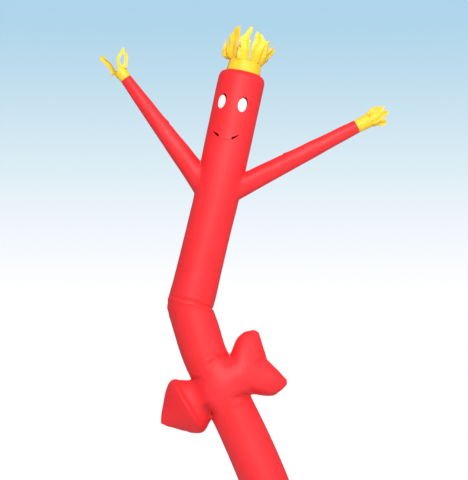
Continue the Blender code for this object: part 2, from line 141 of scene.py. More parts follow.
class Finish:
    """A material that is built node by node round one Principled shader."""

    def __init__(self, name):
        self.material = bpy.data.materials.new(name)
        self.material.use_nodes = True
        self.tree = self.material.node_tree
        self.shader = self.tree.nodes["Principled BSDF"]

    def feed(self, socket, value):
        if isinstance(value, Number):
            self.tree.links.new(value.socket, socket)
        else:
            socket.default_value = value

    def node(self, kind, settings=None, inputs=None, output=0):
        """Any node: its settings first, then the values or links of its sockets."""
        made = self.tree.nodes.new(kind)
        for name, value in (settings or {}).items():
            setattr(made, name, value)
        for name, value in (inputs or {}).items():
            self.feed(made.inputs[name], value)
        return Number(self, made.outputs[output])

    def set(self, **values):
        """Sockets of the Principled shader, by name with _ for a space."""
        for name, value in values.items():
            self.feed(self.shader.inputs[name.replace("_", " ")], value)

    def mix(self, share, first, second):
        """Two colours mixed."""
        inputs = {0: share, 6: first, 7: second}
        return self.node("ShaderNodeMix", {"data_type": "RGBA"}, inputs, output=2)

    def noise(self, where, scale, detail=3.0, rough=0.5):
        inputs = {"Vector": where, "Scale": scale, "Detail": detail, "Roughness": rough}
        return self.node("ShaderNodeTexNoise", None, inputs)


print("shader helpers ready")

# %% [markdown]
# ## The cloth
#
# Ripstop nylon is woven plain, with a thicker thread every few millimetres both ways, which shows as a
# fine grid. A thin coating makes it airtight and gives it a soft, slightly waxy shine. The grid follows
# the flat cloth, so it is drawn in the sheet's own flat coordinates, which are metres. Creases, seam
# grooves and the feet of the cuffs get painted shade: the colour darkens by a number stored on the mesh,
# which is 1 at the bottom of a crease.

# %% Finishes of the cloth
RIPSTOP_PITCH = 0.006
THREAD_PITCH = 0.0009
SHADE = "shade"


def opaque(colour):
    return (*colour, 1.0)


def cloth_finish(name, colour, worn, shade_and_fibre_dark, roughness):
    """Coated ripstop cloth: its colour, the colour where it is worn pale, and a darker colour used for
    painted shade in creases and for dark fibres.
    """
    finish = Finish(name)
    flat = finish.node("ShaderNodeUVMap", {"uv_map": "flat"})
    across = finish.node("ShaderNodeSeparateXYZ", None, {0: flat}, output=0)
    along = finish.node("ShaderNodeSeparateXYZ", None, {0: flat}, output=1)
    shade = finish.node("ShaderNodeAttribute", {"attribute_name": SHADE}, output=2)
    place = finish.node("ShaderNodeTexCoord", None, None, output=3)
    thick_threads = ((across / RIPSTOP_PITCH).off_centre().between(0.44, 0.49)
                     + (along / RIPSTOP_PITCH).off_centre().between(0.44, 0.49))
    weave = (across / THREAD_PITCH).off_centre() * (along / THREAD_PITCH).off_centre()
    blotches = finish.noise(place, 2.6, 4.0).between(0.35, 0.75)
    streaks = finish.noise(place, 9.0, 2.0)
    fibres = finish.noise(place, 70.0, 3.0, 0.6)
    base = finish.mix(blotches * 0.55, opaque(colour), opaque(worn))
    base = finish.mix(thick_threads * 0.10, base, opaque(worn))
    # Painted shade: where the mesh's shade number is high (in creases, seam grooves and the feet of the
    # cuffs), the colour goes towards the dark colour.
    base = finish.mix((shade * 1.1).between(0.05, 1.0) * 0.85, base, opaque(shade_and_fibre_dark))
    base = finish.mix((fibres - 0.5) * 0.16 + 0.03, base, opaque(shade_and_fibre_dark))
    height = thick_threads * 0.00022 + weave * 0.0004 + fibres * 0.0006 + streaks * 0.0022
    bump = finish.node("ShaderNodeBump", None, {"Strength": 0.75, "Distance": 1.0, "Height": height})
    uneven_gloss = streaks * 0.14 + thick_threads * 0.05 + (roughness - 0.08)
    finish.set(Base_Color=base, Normal=bump, Roughness=uneven_gloss, Specular_IOR_Level=0.42)
    finish.set(Coat_Roughness=0.42, Coat_Weight=blotches * 0.06 + 0.05)
    return finish.material


RED_CLOTH = cloth_finish(
    "red ripstop", (0.84, 0.012, 0.017), (0.88, 0.020, 0.028), (0.50, 0.003, 0.005), roughness=0.60
)
YELLOW_CLOTH = cloth_finish(
    "yellow ripstop", (0.92, 0.54, 0.012), (0.97, 0.72, 0.06), (0.42, 0.17, 0.004), roughness=0.52
)
WHITE_CLOTH = cloth_finish(
    "white ripstop", (0.80, 0.80, 0.79), (0.86, 0.86, 0.85), (0.50, 0.48, 0.46), roughness=0.60
)


def thread_finish(name, colour, pale):
    """Twisted sewing thread: fine slanted ply lines."""
    finish = Finish(name)
    place = finish.node("ShaderNodeTexCoord", None, None, output=3)
    ply = finish.noise(place, 900.0, 2.0)
    finish.set(Base_Color=finish.mix(ply, opaque(colour), opaque(pale)), Roughness=ply * 0.2 + 0.45)
    finish.set(Sheen_Weight=0.2, Sheen_Roughness=0.5)
    return finish.material


RED_THREAD = thread_finish("red thread", (0.62, 0.012, 0.016), (0.95, 0.07, 0.08))
YELLOW_THREAD = thread_finish("yellow thread", (0.80, 0.42, 0.02), (0.98, 0.78, 0.20))
WHITE_THREAD = thread_finish("white thread", (0.72, 0.72, 0.70), (0.95, 0.95, 0.94))
print("finishes:", ", ".join(m.name for m in bpy.data.materials if m.users == 0))

# %% [markdown]
# ## The way the tube goes
#
# The maker's tube is straight. Wind and its own weight bend it, and it keeps its width because pressure
# holds it round. So its form is a smooth centre line with a radius, read from a short table, and the
# distance of any point from that line says how far outside the cloth it is. Those distances later join
# the tubes softly.

# %% Paths
FRONT = np.array([0.0, -1.0, 0.0])
Section = namedtuple("Section", "x z radius")
HEM_HEIGHT = 0.050
LEG_AND_HIP = [
    Section(0.000, 0.000, 0.229),
    Section(0.000, HEM_HEIGHT, 0.229),
    Section(-0.012, 0.280, 0.233),
    Section(-0.076, 0.620, 0.237),
    Section(-0.178, 0.945, 0.238),
    Section(-0.289, 1.240, 0.238),
    Section(-0.554, 1.839, 0.229),
    Section(-0.719, 2.174, 0.226),
    Section(-0.889, 2.510, 0.226),
    Section(-0.966, 2.753, 0.228),
    Section(-1.039, 2.991, 0.222),
]
TORSO = [
    Section(-1.039, 2.991, 0.233),
    Section(-0.9945, 3.150, 0.233),
    Section(-0.944, 3.363, 0.228),
    Section(-0.829, 3.851, 0.226),
    Section(-0.769, 4.095, 0.228),
    Section(-0.679, 4.521, 0.234),
    Section(-0.5905, 4.928, 0.238),
    Section(-0.5135, 5.296, 0.238),
]


def unit(vectors):
    """Vectors scaled to length 1, one or many."""
    return vectors / np.linalg.norm(vectors, axis=-1, keepdims=True)


def right_of(direction):
    """Across a direction in the plane Y = 0, to its right as the front is seen."""
    return np.stack([direction[..., 2], 0 * direction[..., 0], -direction[..., 0]], axis=-1)


def smooth(knots, table, wanted):
    """Reads the columns of a table at wanted places, as smooth curves through its rows."""
    slope = np.gradient(table, knots, axis=0)
    first = np.clip(np.searchsorted(knots, wanted, side="right") - 1, 0, len(knots) - 2)
    length = (knots[first + 1] - knots[first])[..., None]
    t = (wanted - knots[first])[..., None] / length
    return (
        (1 + 2 * t) * (1 - t) ** 2 * table[first]
        + t * (1 - t) ** 2 * length * slope[first]
        + t**2 * (3 - 2 * t) * table[first + 1]
        - t**2 * (1 - t) * length * slope[first + 1]
    )


class Path:
    """A smooth centre line in the plane Y = 0 with the radius of the cloth round it."""

    STEP = 0.01

    def __init__(self, rows):
        self.table = np.array(rows, float)
        steps = np.hypot(np.diff(self.table[:, 0]), np.diff(self.table[:, 1]))
        self.knots = np.concatenate([[0.0], np.cumsum(steps)])
        self.length = self.knots[-1]
        self.run = np.linspace(0.0, self.length, round(self.length / self.STEP) + 1)
        self.centre, self.ahead, self.radius = self.at(self.run)

    def at(self, run):
        """Centres, directions and radii at distances along the line."""
        values = smooth(self.knots, self.table, run)
        before = smooth(self.knots, self.table, np.clip(run - 1e-4, 0.0, self.length))
        after = smooth(self.knots, self.table, np.clip(run + 1e-4, 0.0, self.length))
        flat = np.zeros(values.shape[:-1])
        centre = np.stack([values[..., 0], flat, values[..., 1]], axis=-1)
        step = after - before
        ahead = unit(np.stack([step[..., 0], flat, step[..., 1]], axis=-1))
        return centre, ahead, values[..., 2]

    def nearest(self, points):
        """For each point, the distance along the line and the offset from it."""
        run = np.empty(len(points))
        across = np.empty_like(points)
        for start in range(0, len(points), 8000):
            part = points[start:start + 8000]
            reach = (part[:, :1] - self.centre[:, 0]) ** 2 + (part[:, 2:] - self.centre[:, 2]) ** 2
            index = reach.argmin(axis=1)
            offset = part - self.centre[index]
            along = (offset * self.ahead[index]).sum(axis=1)
            run[start:start + 8000] = self.run[index] + along
            across[start:start + 8000] = offset - along[:, None] * self.ahead[index]
        return run, across

    def distance(self, points):
        """How far points are outside the cloth."""
        run, across = self.nearest(points)
        return np.linalg.norm(across, axis=1) - np.interp(run, self.run, self.radius)

    def around(self, points):
        """The turn of points round the line, from the front towards the right."""
        run, across = self.nearest(points)
        right = right_of(self.ahead[np.clip(np.round(run / self.STEP).astype(int), 0, len(self.run) - 1)])
        return np.arctan2((across * right).sum(axis=1), across @ FRONT)


class Limb(Path):
    """An arm's path, which has a beginning inside the torso."""

    def distance(self, points):
        run, across = self.nearest(points)
        outside = np.linalg.norm(across, axis=1) - np.interp(run, self.run, self.radius)
        return np.where(run < 0, np.maximum(outside, 0.5), outside)


TUBE = Path(LEG_AND_HIP)
CHEST = Path(TORSO)
ARMS = {
    "arm_left": Limb([Section(-0.830, 4.142, 0.131), Section(-1.694, 5.321, 0.058)]),
    "arm_right": Limb([Section(-0.629, 4.162, 0.116), Section(0.664, 4.830, 0.067)]),
}
print(f"tube to the waist {TUBE.length:.2f} m, from there to the cap {CHEST.length:.2f} m")

# %% [markdown]
# ## The arrow
#
# The maker cuts two arrow shapes and sews them together round the edge, so the arrow is a pillow: round
# where it is narrow, and thinner towards its wide, flat-sewn ends. It is a stack of ovals along its axis.
# Its head has a fold from barb to barb, where the flat pointed end turns into the hollow behind the
# barbs.

# %% Arrow sections
ARROW_CENTRE = np.array([-0.721, 0.0, 2.174])
ARROW_TILT = math.radians(31.0)
ARROW_AHEAD = np.array([math.cos(ARROW_TILT), 0.0, math.sin(ARROW_TILT)])
ARROW_DOWN = right_of(ARROW_AHEAD)
ArrowSection = namedtuple("ArrowSection", "along up down depth notch dip edge")
ARROW = [
    ArrowSection(-0.706, 0.010, 0.010, 0.006, 0.000, 0.00, 1.0),
    ArrowSection(-0.684, 0.042, 0.040, 0.022, 0.000, 0.00, 1.1),
    ArrowSection(-0.585, 0.157, 0.143, 0.092, 0.000, 0.00, 1.2),
    ArrowSection(-0.488, 0.265, 0.244, 0.164, 0.000, 0.00, 1.2),
    ArrowSection(-0.420, 0.314, 0.288, 0.212, 0.000, 0.00, 1.2),
    ArrowSection(-0.385, 0.319, 0.291, 0.222, 0.000, 0.00, 1.2),
    ArrowSection(-0.350, 0.305, 0.282, 0.184, 0.000, 0.00, 1.1),
    ArrowSection(-0.300, 0.268, 0.254, 0.168, 0.000, 0.00, 1.0),
    ArrowSection(-0.234, 0.226, 0.217, 0.176, 0.000, 0.00, 1.0),
    ArrowSection(-0.120, 0.218, 0.218, 0.224, 0.000, 0.00, 1.0),
    ArrowSection(0.000, 0.218, 0.218, 0.242, 0.000, 0.00, 1.0),
    ArrowSection(0.120, 0.218, 0.218, 0.240, 0.000, 0.00, 1.0),
    ArrowSection(0.224, 0.221, 0.219, 0.232, 0.000, 0.00, 1.0),
    ArrowSection(0.315, 0.284, 0.282, 0.222, 0.004, 0.04, 1.0),
    ArrowSection(0.386, 0.336, 0.334, 0.206, 0.012, 0.10, 1.1),
    ArrowSection(0.467, 0.357, 0.347, 0.172, 0.028, 0.17, 1.1),
    ArrowSection(0.552, 0.343, 0.334, 0.116, 0.048, 0.22, 1.1),
    ArrowSection(0.602, 0.308, 0.304, 0.045, 0.064, 0.22, 1.1),
    ArrowSection(0.615, 0.280, 0.276, 0.004, 0.068, 0.00, 1.0),
]
ARROW_TABLE = np.array(ARROW)


def arrow_fields(along):
    """The columns of the arrow's table beside along, at places along its axis."""
    wanted = np.clip(along, ARROW_TABLE[0, 0], ARROW_TABLE[-1, 0])
    return np.moveaxis(smooth(ARROW_TABLE[:, 0], ARROW_TABLE[:, 1:], wanted), -1, 0)


def arrow_share(points):
    """0 on the arrow's cloth, negative inside, as a share of its width."""
    offset = points - ARROW_CENTRE
    across = offset @ ARROW_DOWN
    up, down, depth, *_ = arrow_fields(offset @ ARROW_AHEAD)
    width = np.where(across > 0, down, up)
    return np.sqrt((across / width) ** 2 + (points[:, 1] / depth) ** 2 + 1e-12) - 1


def arrow_distance(points):
    """How far points are outside the arrow's cloth, near its middle."""
    nudge = 1e-4
    share = arrow_share(points)
    slope = np.stack([(arrow_share(points + step) - share) / nudge for step in np.eye(3) * nudge], axis=1)
    return share / np.maximum(np.linalg.norm(slope, axis=1), 0.5)


print(f"arrow {ARROW_TABLE[-1, 0] - ARROW_TABLE[0, 0]:.2f} m long")

# %% [markdown]
# ## Sheets
#
# A sheet here is a mesh in the making: points, the faces between them, and for each face corner its place
# on the flat cloth in metres. Cutting one along a line is done as scissors do it: each face that the line
# crosses keeps the part on the wanted side, so a seam's edge comes out clean whatever the mesh's own rows
# are.

# %% Sheets and scissors
# How near a point must be to the cut to be moved onto it, as a share of the mesh edge that is cut
CLOSE_BESIDE = 0.3


class Sheet:
    """Cloth in the making: points, faces, and each face corner's place on the flat cloth."""

    def __init__(self, points, faces, flat):
        self.points = points
        self.faces = faces
        self.flat = flat

    def trim(self, keep):
        """Cuts along the line where keep, one number a point, is 0, and drops the negative side.

        Points that lie close beside the line are moved onto it first, so that no slivers are left.
        """
        keep = np.array(keep, float)
        points = [np.array(point) for point in self.points]
        made = {}

        def share_of(a, b):
            return keep[a] / (keep[a] - keep[b])

        nearest = {}
        for face in self.faces:
            for a, b in zip(face, face[1:] + face[:1]):
                if keep[a] * keep[b] < 0:
                    share = share_of(a, b)
                    close, other, share = (a, b, share) if share < 0.5 else (b, a, 1 - share)
                    if share < nearest.get(close, (CLOSE_BESIDE, None))[0]:
                        nearest[close] = (share, other)
        moved = {
            close: points[close] * (1 - share) + points[other] * share
            for close, (share, other) in nearest.items()
        }
        for close, place in moved.items():
            points[close] = place
            keep[close] = 0.0

        def crossing(a, b):
            key = (min(a, b), max(a, b))
            share = share_of(*key)
            if key not in made:
                made[key] = len(points)
                points.append(points[key[0]] * (1 - share) + points[key[1]] * share)
            return made[key], share if a == key[0] else 1 - share

        faces, flat = [], []
        for face, corners in zip(self.faces, self.flat):
            sides = [keep[i] for i in face]
            if max(sides) <= 0:
                continue
            if min(sides) >= 0:
                faces.append(face)
                flat.append(corners)
                continue
            ring, ring_flat = [], []
            for k, index in enumerate(face):
                n = (k + 1) % len(face)
                if sides[k] >= 0:
                    ring.append(index)
                    ring_flat.append(corners[k])
                if sides[k] * sides[n] < 0:
                    vertex, share = crossing(index, face[n])
                    ring.append(vertex)
                    ring_flat.append(np.asarray(corners[k]) * (1 - share) + np.asarray(corners[n]) * share)
            if len(ring) > 2:
                faces.append(tuple(ring))
                flat.append(ring_flat)
        used = sorted({i for face in faces for i in face})
        place = {old: new for new, old in enumerate(used)}
        self.points = np.array([points[i] for i in used])
        self.faces = [tuple(place[i] for i in face) for face in faces]
        self.flat = flat

    def build(self, name):
        mesh = bpy.data.meshes.new(name)
        mesh.from_pydata(self.points, [], self.faces)
        layer = mesh.uv_layers.new(name="flat")
        corners = np.array([corner for face in self.flat for corner in face], np.float32)
        layer.data.foreach_set("uv", corners.ravel())
        obj = bpy.data.objects.new(name, mesh)
        scene.collection.objects.link(obj)
        return obj


def rolled(grid, across, along):
    """A sheet rolled into a tube: rows of points, closed round. across and along are its flat coordinates."""
    rows, columns = grid.shape[:2]
    index = np.arange(rows * columns).reshape(rows, columns)
    faces, flat = [], []
    for r in range(rows - 1):
        for c in range(columns):
            n = (c + 1) % columns
            faces.append((index[r, c], index[r, n], index[r + 1, n], index[r + 1, c]))
            flat.append((
                (across[c], along[r, c]),
                (across[c + 1], along[r, n]),
                (across[c + 1], along[r + 1, n]),
                (across[c], along[r + 1, c]),
            ))
    return Sheet(grid.reshape(-1, 3), faces, flat)


def soft_join(first, second, reach):
    """The distance from two bodies whose skins run into each other softly within reach."""
    blend = np.clip(reach - np.abs(first - second), 0.0, None) / reach
    return np.minimum(first, second) - blend**2 * reach / 4


def settle(points, first, second, reach):
    """Moves points of either body onto their shared soft skin. reach has one number a point."""
    moved = points.copy()
    near = np.abs(first(points) - second(points)) < reach
    part, reach = moved[near], reach[near]
    nudge = 1e-4
    for _ in range(4):
        value = soft_join(first(part), second(part), reach)
        steps = [soft_join(first(part + step), second(part + step), reach) for step in np.eye(3) * nudge]
        slope = (np.stack(steps, axis=1) - value[:, None]) / nudge
        part = part - (value / np.maximum((slope**2).sum(axis=1), 0.3))[:, None] * slope
    moved[near] = part
    return moved


print("scissors ready")

# %% [markdown]
# ## What pressure and sewing do to a smooth tube
#
# Cloth under pressure is never quite even. It has long shallow waves, it puckers where a seam is shorter
# than the cloth beside it, and it creases where the figure bends. Each of these is a small height
# outwards from the cloth, worked out from where a point is, and all of them are added up and applied once
# along the normals.

# %% Waves, puckers and creases
Crease = namedtuple("Crease", "x0 z0 x1 z1 width depth")
CREASES = [
    Crease(-0.640, 2.490, -0.742, 2.484, 0.020, 0.010),
    Crease(-0.735, 2.485, -0.850, 2.378, 0.030, 0.009),
    Crease(-0.770, 2.512, -0.885, 2.455, 0.018, 0.006),
    Crease(-1.030, 2.250, -0.925, 2.262, 0.022, 0.010),
    Crease(-0.810, 1.880, -0.900, 1.985, 0.050, 0.016),
    Crease(-0.447, 2.095, -0.600, 2.062, 0.034, 0.014),
    Crease(-0.290, 2.446, -0.370, 2.396, 0.026, 0.006),
    Crease(-1.140, 3.338, -1.050, 3.322, 0.012, 0.004),
    Crease(-1.150, 3.290, -1.060, 3.272, 0.012, 0.004),
    Crease(-0.790, 3.330, -0.705, 3.312, 0.018, 0.006),
]


def uneven(turn, counts, phase):
    """An uneven ripple round a circle, about 1 high: a few counts of waves on top of each other."""
    total = sum(np.sin(count * turn + phase * (k + 1) * 1.7) for k, count in enumerate(counts))
    return total / math.sqrt(len(counts))


def crease_height(points):
    """All the creases on the front, each a soft trough between two low ridges, fading at its ends."""
    height = np.zeros(len(points))
    facing = np.clip(-points[:, 1] / 0.10, 0.0, 1.0)
    for crease in CREASES:
        start = np.array([crease.x0, crease.z0])
        step = np.array([crease.x1, crease.z1]) - start
        offset = points[:, ::2] - start
        share = (offset @ step) / (step @ step)
        held = np.clip(share, 0.0, 1.0)
        away = np.linalg.norm(offset - held[:, None] * step, axis=1) / crease.width
        fade = np.exp(-((2 * share - 1) ** 4) / 2)
        height += crease.depth * fade * (0.45 * np.exp(-((away - 1.7) ** 2)) - np.exp(-(away**2))) * facing
    return height


def wave_height(run, turn, size, phase):
    """Long shallow waves that wander round a tube."""
    slow = np.sin(3 * turn + 2.1 * run + phase) + np.sin(5 * turn - 3.4 * run + 2 * phase)
    short = np.sin(2 * turn + 9.0 * run + 3 * phase) * np.sin(1.3 * run + phase)
    return size * (0.5 * slow + 0.45 * short)


def seam_height(away, turn, counts, phase, size=1.0):
    """A seam drawn in between puckers that die away from it. away is the distance from the seam."""
    groove = -0.0022 * np.exp(-((away / 0.008) ** 2))
    pucker = 0.0026 * uneven(turn, counts, phase) * np.exp(-away / 0.050) * (1 - np.exp(-away / 0.012))
    return size * (groove + pucker)


def back_seam_height(turn):
    """The long seam that closes the tube at its back: a low flat ridge."""
    return 0.0016 * np.exp(-(((math.pi - np.abs(turn)) / 0.055) ** 4))


def read_vectors(collection, name):
    values = np.empty(len(collection) * 3, np.float32)
    collection.foreach_get(name, values)
    return values.reshape(-1, 3).astype(float)


def raise_cloth(obj, height):
    """Moves each point of a sheet outwards by its height, and stores painted shade where it is sunk in."""
    mesh = obj.data
    points = read_vectors(mesh.vertices, "co")
    normals = read_vectors(mesh.vertex_normals, "vector")
    moved = points + normals * height[:, None]
    mesh.vertices.foreach_set("co", moved.ravel().astype(np.float32))
    # Painted shade: the deeper a point lies in a crease or groove, the darker the cloth's colour is drawn
    # there.
    shade = mesh.attributes.new(SHADE, "FLOAT", "POINT")
    shade.data.foreach_set("value", np.clip(-height / 0.02, 0.0, 1.0).astype(np.float32))
    mesh.update()


def sharpen_edges(mesh):
    """Marks the open edges of a sheet as sharp, so that its cut edge doesn't round off the shading."""
    sides = np.empty(len(mesh.loops), np.int32)
    mesh.loops.foreach_get("edge_index", sides)
    mesh.edges.foreach_set("use_edge_sharp", np.bincount(sides, minlength=len(mesh.edges)) == 1)


def finish_piece(obj, material, nodes=(), thickness=0.0012):
    """Gives a sheet its thickness and finish, and its place in the frame."""
    sharpen_edges(obj.data)
    shell = obj.modifiers.new("cloth thickness", "SOLIDIFY")
    shell.thickness = thickness
    shell.offset = -1.0
    obj.data.materials.append(material)
    obj.data.shade_smooth()
    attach(obj, "root")
    if nodes:
        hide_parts(*nodes)
    return obj


def cloth_area(obj):
    """The area of one side of a sheet, in square metres."""
    return sum(face.area for face in obj.data.polygons)


print(len(CREASES), "creases placed by hand")

# %% [markdown]
# ## The foot of the tube
#
# The lower tube runs from its turned hem, where the fan blows in, to the arrow. Its top edge is scribed
# to the arrow as one pipe is scribed to another: each line of points up the tube ends exactly where it
# meets the arrow.

# %% Lower tube
TUBE_COLUMNS = 160
CUT_RADIUS = 0.231
LEVEL_BELOW = 1.1
turns = np.linspace(0.0, 2 * math.pi, TUBE_COLUMNS, endpoint=False)
flat_across = np.linspace(0.0, 2 * math.pi * CUT_RADIUS, TUBE_COLUMNS + 1)


def around(centre, right, width, depth, turn):
    """Points round centres at their turns."""
    sideways = (np.sin(turn) * width)[..., None] * right
    return centre + sideways + (np.cos(turn) * depth)[..., None] * FRONT


def tube_points(run, turn):
    centre, ahead, radius = TUBE.at(run)
    return around(centre, right_of(ahead), radius, radius, turn)


def first_meeting(runs, points_at, outside, turn):
    """For each turn, where a line of points first gets inside another body, going along runs."""
    found = []
    for one in turn:
        values = outside(points_at(runs, np.full_like(runs, one)))
        index = int(np.argmax(values < 0))
        share = values[index - 1] / (values[index - 1] - values[index])
        found.append(runs[index - 1] + share * (runs[index] - runs[index - 1]))
    return np.array(found)


def hip_reach(points):
    """How softly the arrow and the tube join: tight at the sides, and wide across the front and back."""
    return 0.030 + 0.100 * np.clip(np.abs(points[:, 1]) / 0.20, 0.0, 1.0) ** 2


def join_at_hips(points):
    return settle(points, TUBE.distance, arrow_distance, hip_reach(points))


def away_from_seam(first, second):
    """0 at a seam, where two bodies' skins meet, rising to 1 away from it: waves of the cloth end there."""
    return 1 - np.exp(-(((first - second) / 0.07) ** 2))


def hip_seam(points):
    """Height near the seams of tube and arrow."""
    away = np.abs(TUBE.distance(points) - arrow_distance(points))
    strength = 0.05 + 0.95 * np.clip(1 - np.abs(points[:, 1]) / 0.16, 0.0, 1.0)
    return strength * seam_height(away, TUBE.around(points), (17, 29, 41), 0.6, 0.9)


def build_lower_tube():
    """Rows that are level up to LEVEL_BELOW, and then lean so that the last one meets the arrow all round."""
    top = first_meeting(np.linspace(1.2, 2.7, 301), tube_points, arrow_share, turns)
    level = np.linspace(0.0, 1.0, 128)[:, None]
    highest = top.max()
    run = level * highest
    run = run + np.clip((run - LEVEL_BELOW) / (highest - LEVEL_BELOW), 0.0, 1.0) * (top - highest)
    sheet = rolled(tube_points(run, turns + 0 * run), flat_across, run)
    sheet.points = join_at_hips(sheet.points)
    obj = sheet.build("lower_tube_cloth")
    points = sheet.points
    along, turn = TUBE.nearest(points)[0], TUBE.around(points)
    height = wave_height(along, turn, 0.0022, 0.4) * np.clip(along / 0.25, 0.1, 1.0)
    height *= away_from_seam(TUBE.distance(points), arrow_distance(points))
    away = (along - HEM_HEIGHT) / 0.005
    height -= 0.0025 * np.exp(-(away**2))
    height += 0.0008 * uneven(turn, (31, 47), 0.3) * np.exp(-((away / 6) ** 2))
    height += np.where(along < HEM_HEIGHT, 0.0012, 0.0) + back_seam_height(turn)
    raise_cloth(obj, height + hip_seam(points) + crease_height(points))
    return finish_piece(obj, RED_CLOTH, ["tube_lower"])


lower_tube = build_lower_tube()
print(f"lower tube {cloth_area(lower_tube):.2f} m2")

# %% [markdown]
# ## The body
#
# Above the arrow the tube leans one way, folds at the waist and leans the other. At a fold a tube of
# cloth can't bend like rubber: its inner side buckles into one sharp crease with a lip on each side, and
# its outer side stays tight. The rings of points turn into the plane of the fold, and the crease deepens
# inwards.

# %% Body with its waist
FACE_TURN = math.radians(-11.3)
MOUTH_Z = 4.734
FOLD_REACH = 0.30
FOLD_DROP = math.radians(6.5)
FOLD_WIDTH = 0.237
FOLD_DEPTH = 0.228
FOLD_RIGHT = np.array([math.cos(FOLD_DROP), 0.0, -math.sin(FOLD_DROP)])


def fold_height(run, turn):
    """The waist's crease and the lip below it. run is 0 in the plane of the fold.

    The crease starts in the notch of the inner side, on the right, and rises round the front to the left.
    """
    side, front = np.sin(turn), np.clip(np.cos(turn), 0.0, 1.0)
    inner = np.clip(side, 0.0, 1.0) ** 3
    away = run - (0.036 - 0.031 * side + 0.010 * np.cos(turn)) - 0.003 * np.sin(5 * turn + 1.0)
    crease = -(0.0030 + 0.0060 * front + 0.006 * inner) * np.exp(-((away / 0.011) ** 2))
    blunt = -0.012 * np.clip(-side, 0.0, 1.0) ** 2 * np.exp(-((run / 0.028) ** 2))
    lip = 0.008 * front * np.exp(-(((away + 0.034) / 0.020) ** 2))
    shoulder = 0.003 * front * np.exp(-(((away - 0.034) / 0.024) ** 2))
    ripples = 0.0022 * np.sin(run * 75 + 2 * turn) * np.exp(-((run / 0.14) ** 2)) * np.clip(-side, 0.0, 1.0)
    return crease + blunt + lip + shoulder + ripples


def body_points(run, turn):
    """Points on the body's cloth at distances from the fold, which are negative below it."""
    hip = TUBE.at(np.clip(TUBE.length + run, 0.0, TUBE.length))
    chest = CHEST.at(np.clip(run, 0.0, CHEST.length))
    below = (run < 0)[..., None]
    centre = np.where(below, hip[0], chest[0])
    ahead = np.where(below, hip[1], chest[1])
    radius = np.where(run < 0, hip[2], chest[2])
    share = np.clip(1 - np.abs(run) / FOLD_REACH, 0.0, 1.0)[..., None]
    own = right_of(ahead)
    right = unit((1 - share) * own + share * FOLD_RIGHT)
    width = radius / (right * own).sum(axis=-1)
    width = width + np.exp(-((run / 0.04) ** 2)) * (FOLD_WIDTH - width)
    depth = radius + np.exp(-((run / 0.08) ** 2)) * (FOLD_DEPTH - radius)
    height = fold_height(run, turn)
    return around(centre, right, width + height, depth + height, turn)


def arm_reach(points):
    return 0.020 + 0.030 * np.clip(np.abs(points[:, 1]) / 0.10, 0.0, 1.0) ** 2


def join_at_arms(points):
    for arm in ARMS.values():
        points = settle(points, CHEST.distance, arm.distance, arm_reach(points))
    return points


def arm_seam(points, arm, phase):
    away = np.abs(CHEST.distance(points) - arm.distance(points))
    return seam_height(away, arm.around(points), (9, 14, 23), phase, 1.0)


def smile_height(along, turn):
    """The middle of the smile, where the lips of the cut touch: a thin ridge between the two open ends."""
    side = (turn - FACE_TURN) / math.radians(16.0)
    level = along - np.interp(MOUTH_Z, CHEST.centre[:, 2], CHEST.run) + 0.052 + 0.010 * (1 - side**2)
    return 0.0045 * np.exp(-((level / 0.010) ** 2)) * np.exp(-(side**8))


def build_body():
    bottom = first_meeting(
        np.linspace(-0.35, -TUBE.length * 0.4, 401), body_points, arrow_share, turns
    )
    waist_rows = np.concatenate([
        np.linspace(bottom.min(), -0.12, 36)[:-1],
        np.linspace(-0.12, 0.12, 46)[:-1],
        np.linspace(0.12, 1.62, 84)[:-1],
        np.linspace(1.62, CHEST.length, 96),
    ])[:, None]
    lowest, skew_to = bottom.min(), -0.30
    skew = np.clip((skew_to - waist_rows) / (skew_to - lowest), 0.0, 1.0)
    run = waist_rows + skew * (bottom - lowest)
    sheet = rolled(body_points(run, turns + 0 * run), flat_across, run)
    sheet.points[TUBE_COLUMNS * (len(waist_rows) - 1):] += 0.0003 * CHEST.ahead[-1]
    for arm in ARMS.values():
        sheet.trim(arm.distance(sheet.points))
    hips = sheet.points[:, 2] < 2.9
    sheet.points[hips] = join_at_hips(sheet.points[hips])
    sheet.points[~hips] = join_at_arms(sheet.points[~hips])
    obj = sheet.build("body_cloth")
    points = sheet.points
    along, turn = CHEST.nearest(points)[0], CHEST.around(points)
    calm = 1 - 0.8 * np.exp(-(((along - 1.9) / 0.22) ** 2)) * np.clip(np.cos(turn), 0.0, 1.0)
    height = wave_height(along, turn, 0.0024, 1.9) * calm
    height *= away_from_seam(CHEST.length, along)
    height *= np.where(hips, away_from_seam(TUBE.distance(points), arrow_distance(points)), 1.0)
    for arm in ARMS.values():
        height *= np.where(hips, 1.0, away_from_seam(CHEST.distance(points), arm.distance(points)))
    height += seam_height(np.abs(CHEST.length - along), turn, (19, 33, 46), 1.1, 0.10)
    height += np.where(hips, hip_seam(points), 0.0)
    for phase, arm in enumerate(ARMS.values()):
        height += np.where(hips, 0.0, arm_seam(points, arm, phase))
    height += smile_height(along, turn) + back_seam_height(turn)
    raise_cloth(obj, height + crease_height(points))
    return finish_piece(obj, RED_CLOTH, ["tube_hip", "tube_torso"])


body = build_body()
print(f"body {cloth_area(body):.2f} m2")

# %% [markdown]
# ## The arrow's cloth
#
# Its rows are the ovals of the table, read smoothly. Towards the ends the ovals get sharper edges,
# because there the two panels meet almost flat at the seam. The edge seam puckers the cloth all round.

# %% Arrow cloth
ARROW_COLUMNS = 176


def arrow_grid(along):
    turn = np.linspace(0.0, 2 * math.pi, ARROW_COLUMNS, endpoint=False)
    side = np.sin(turn)
    up, down, depth, notch, dip, edge = arrow_fields(along[:, None] + 0 * turn)
    place = along[:, None] - notch * (1 - np.abs(side))
    across = side * np.where(side > 0, down, up)
    front = np.sign(np.cos(turn)) * np.abs(np.cos(turn)) ** edge * depth * (1 - dip * (1 - side**2))
    offset = place[..., None] * ARROW_AHEAD + across[..., None] * ARROW_DOWN + front[..., None] * FRONT
    return ARROW_CENTRE + offset


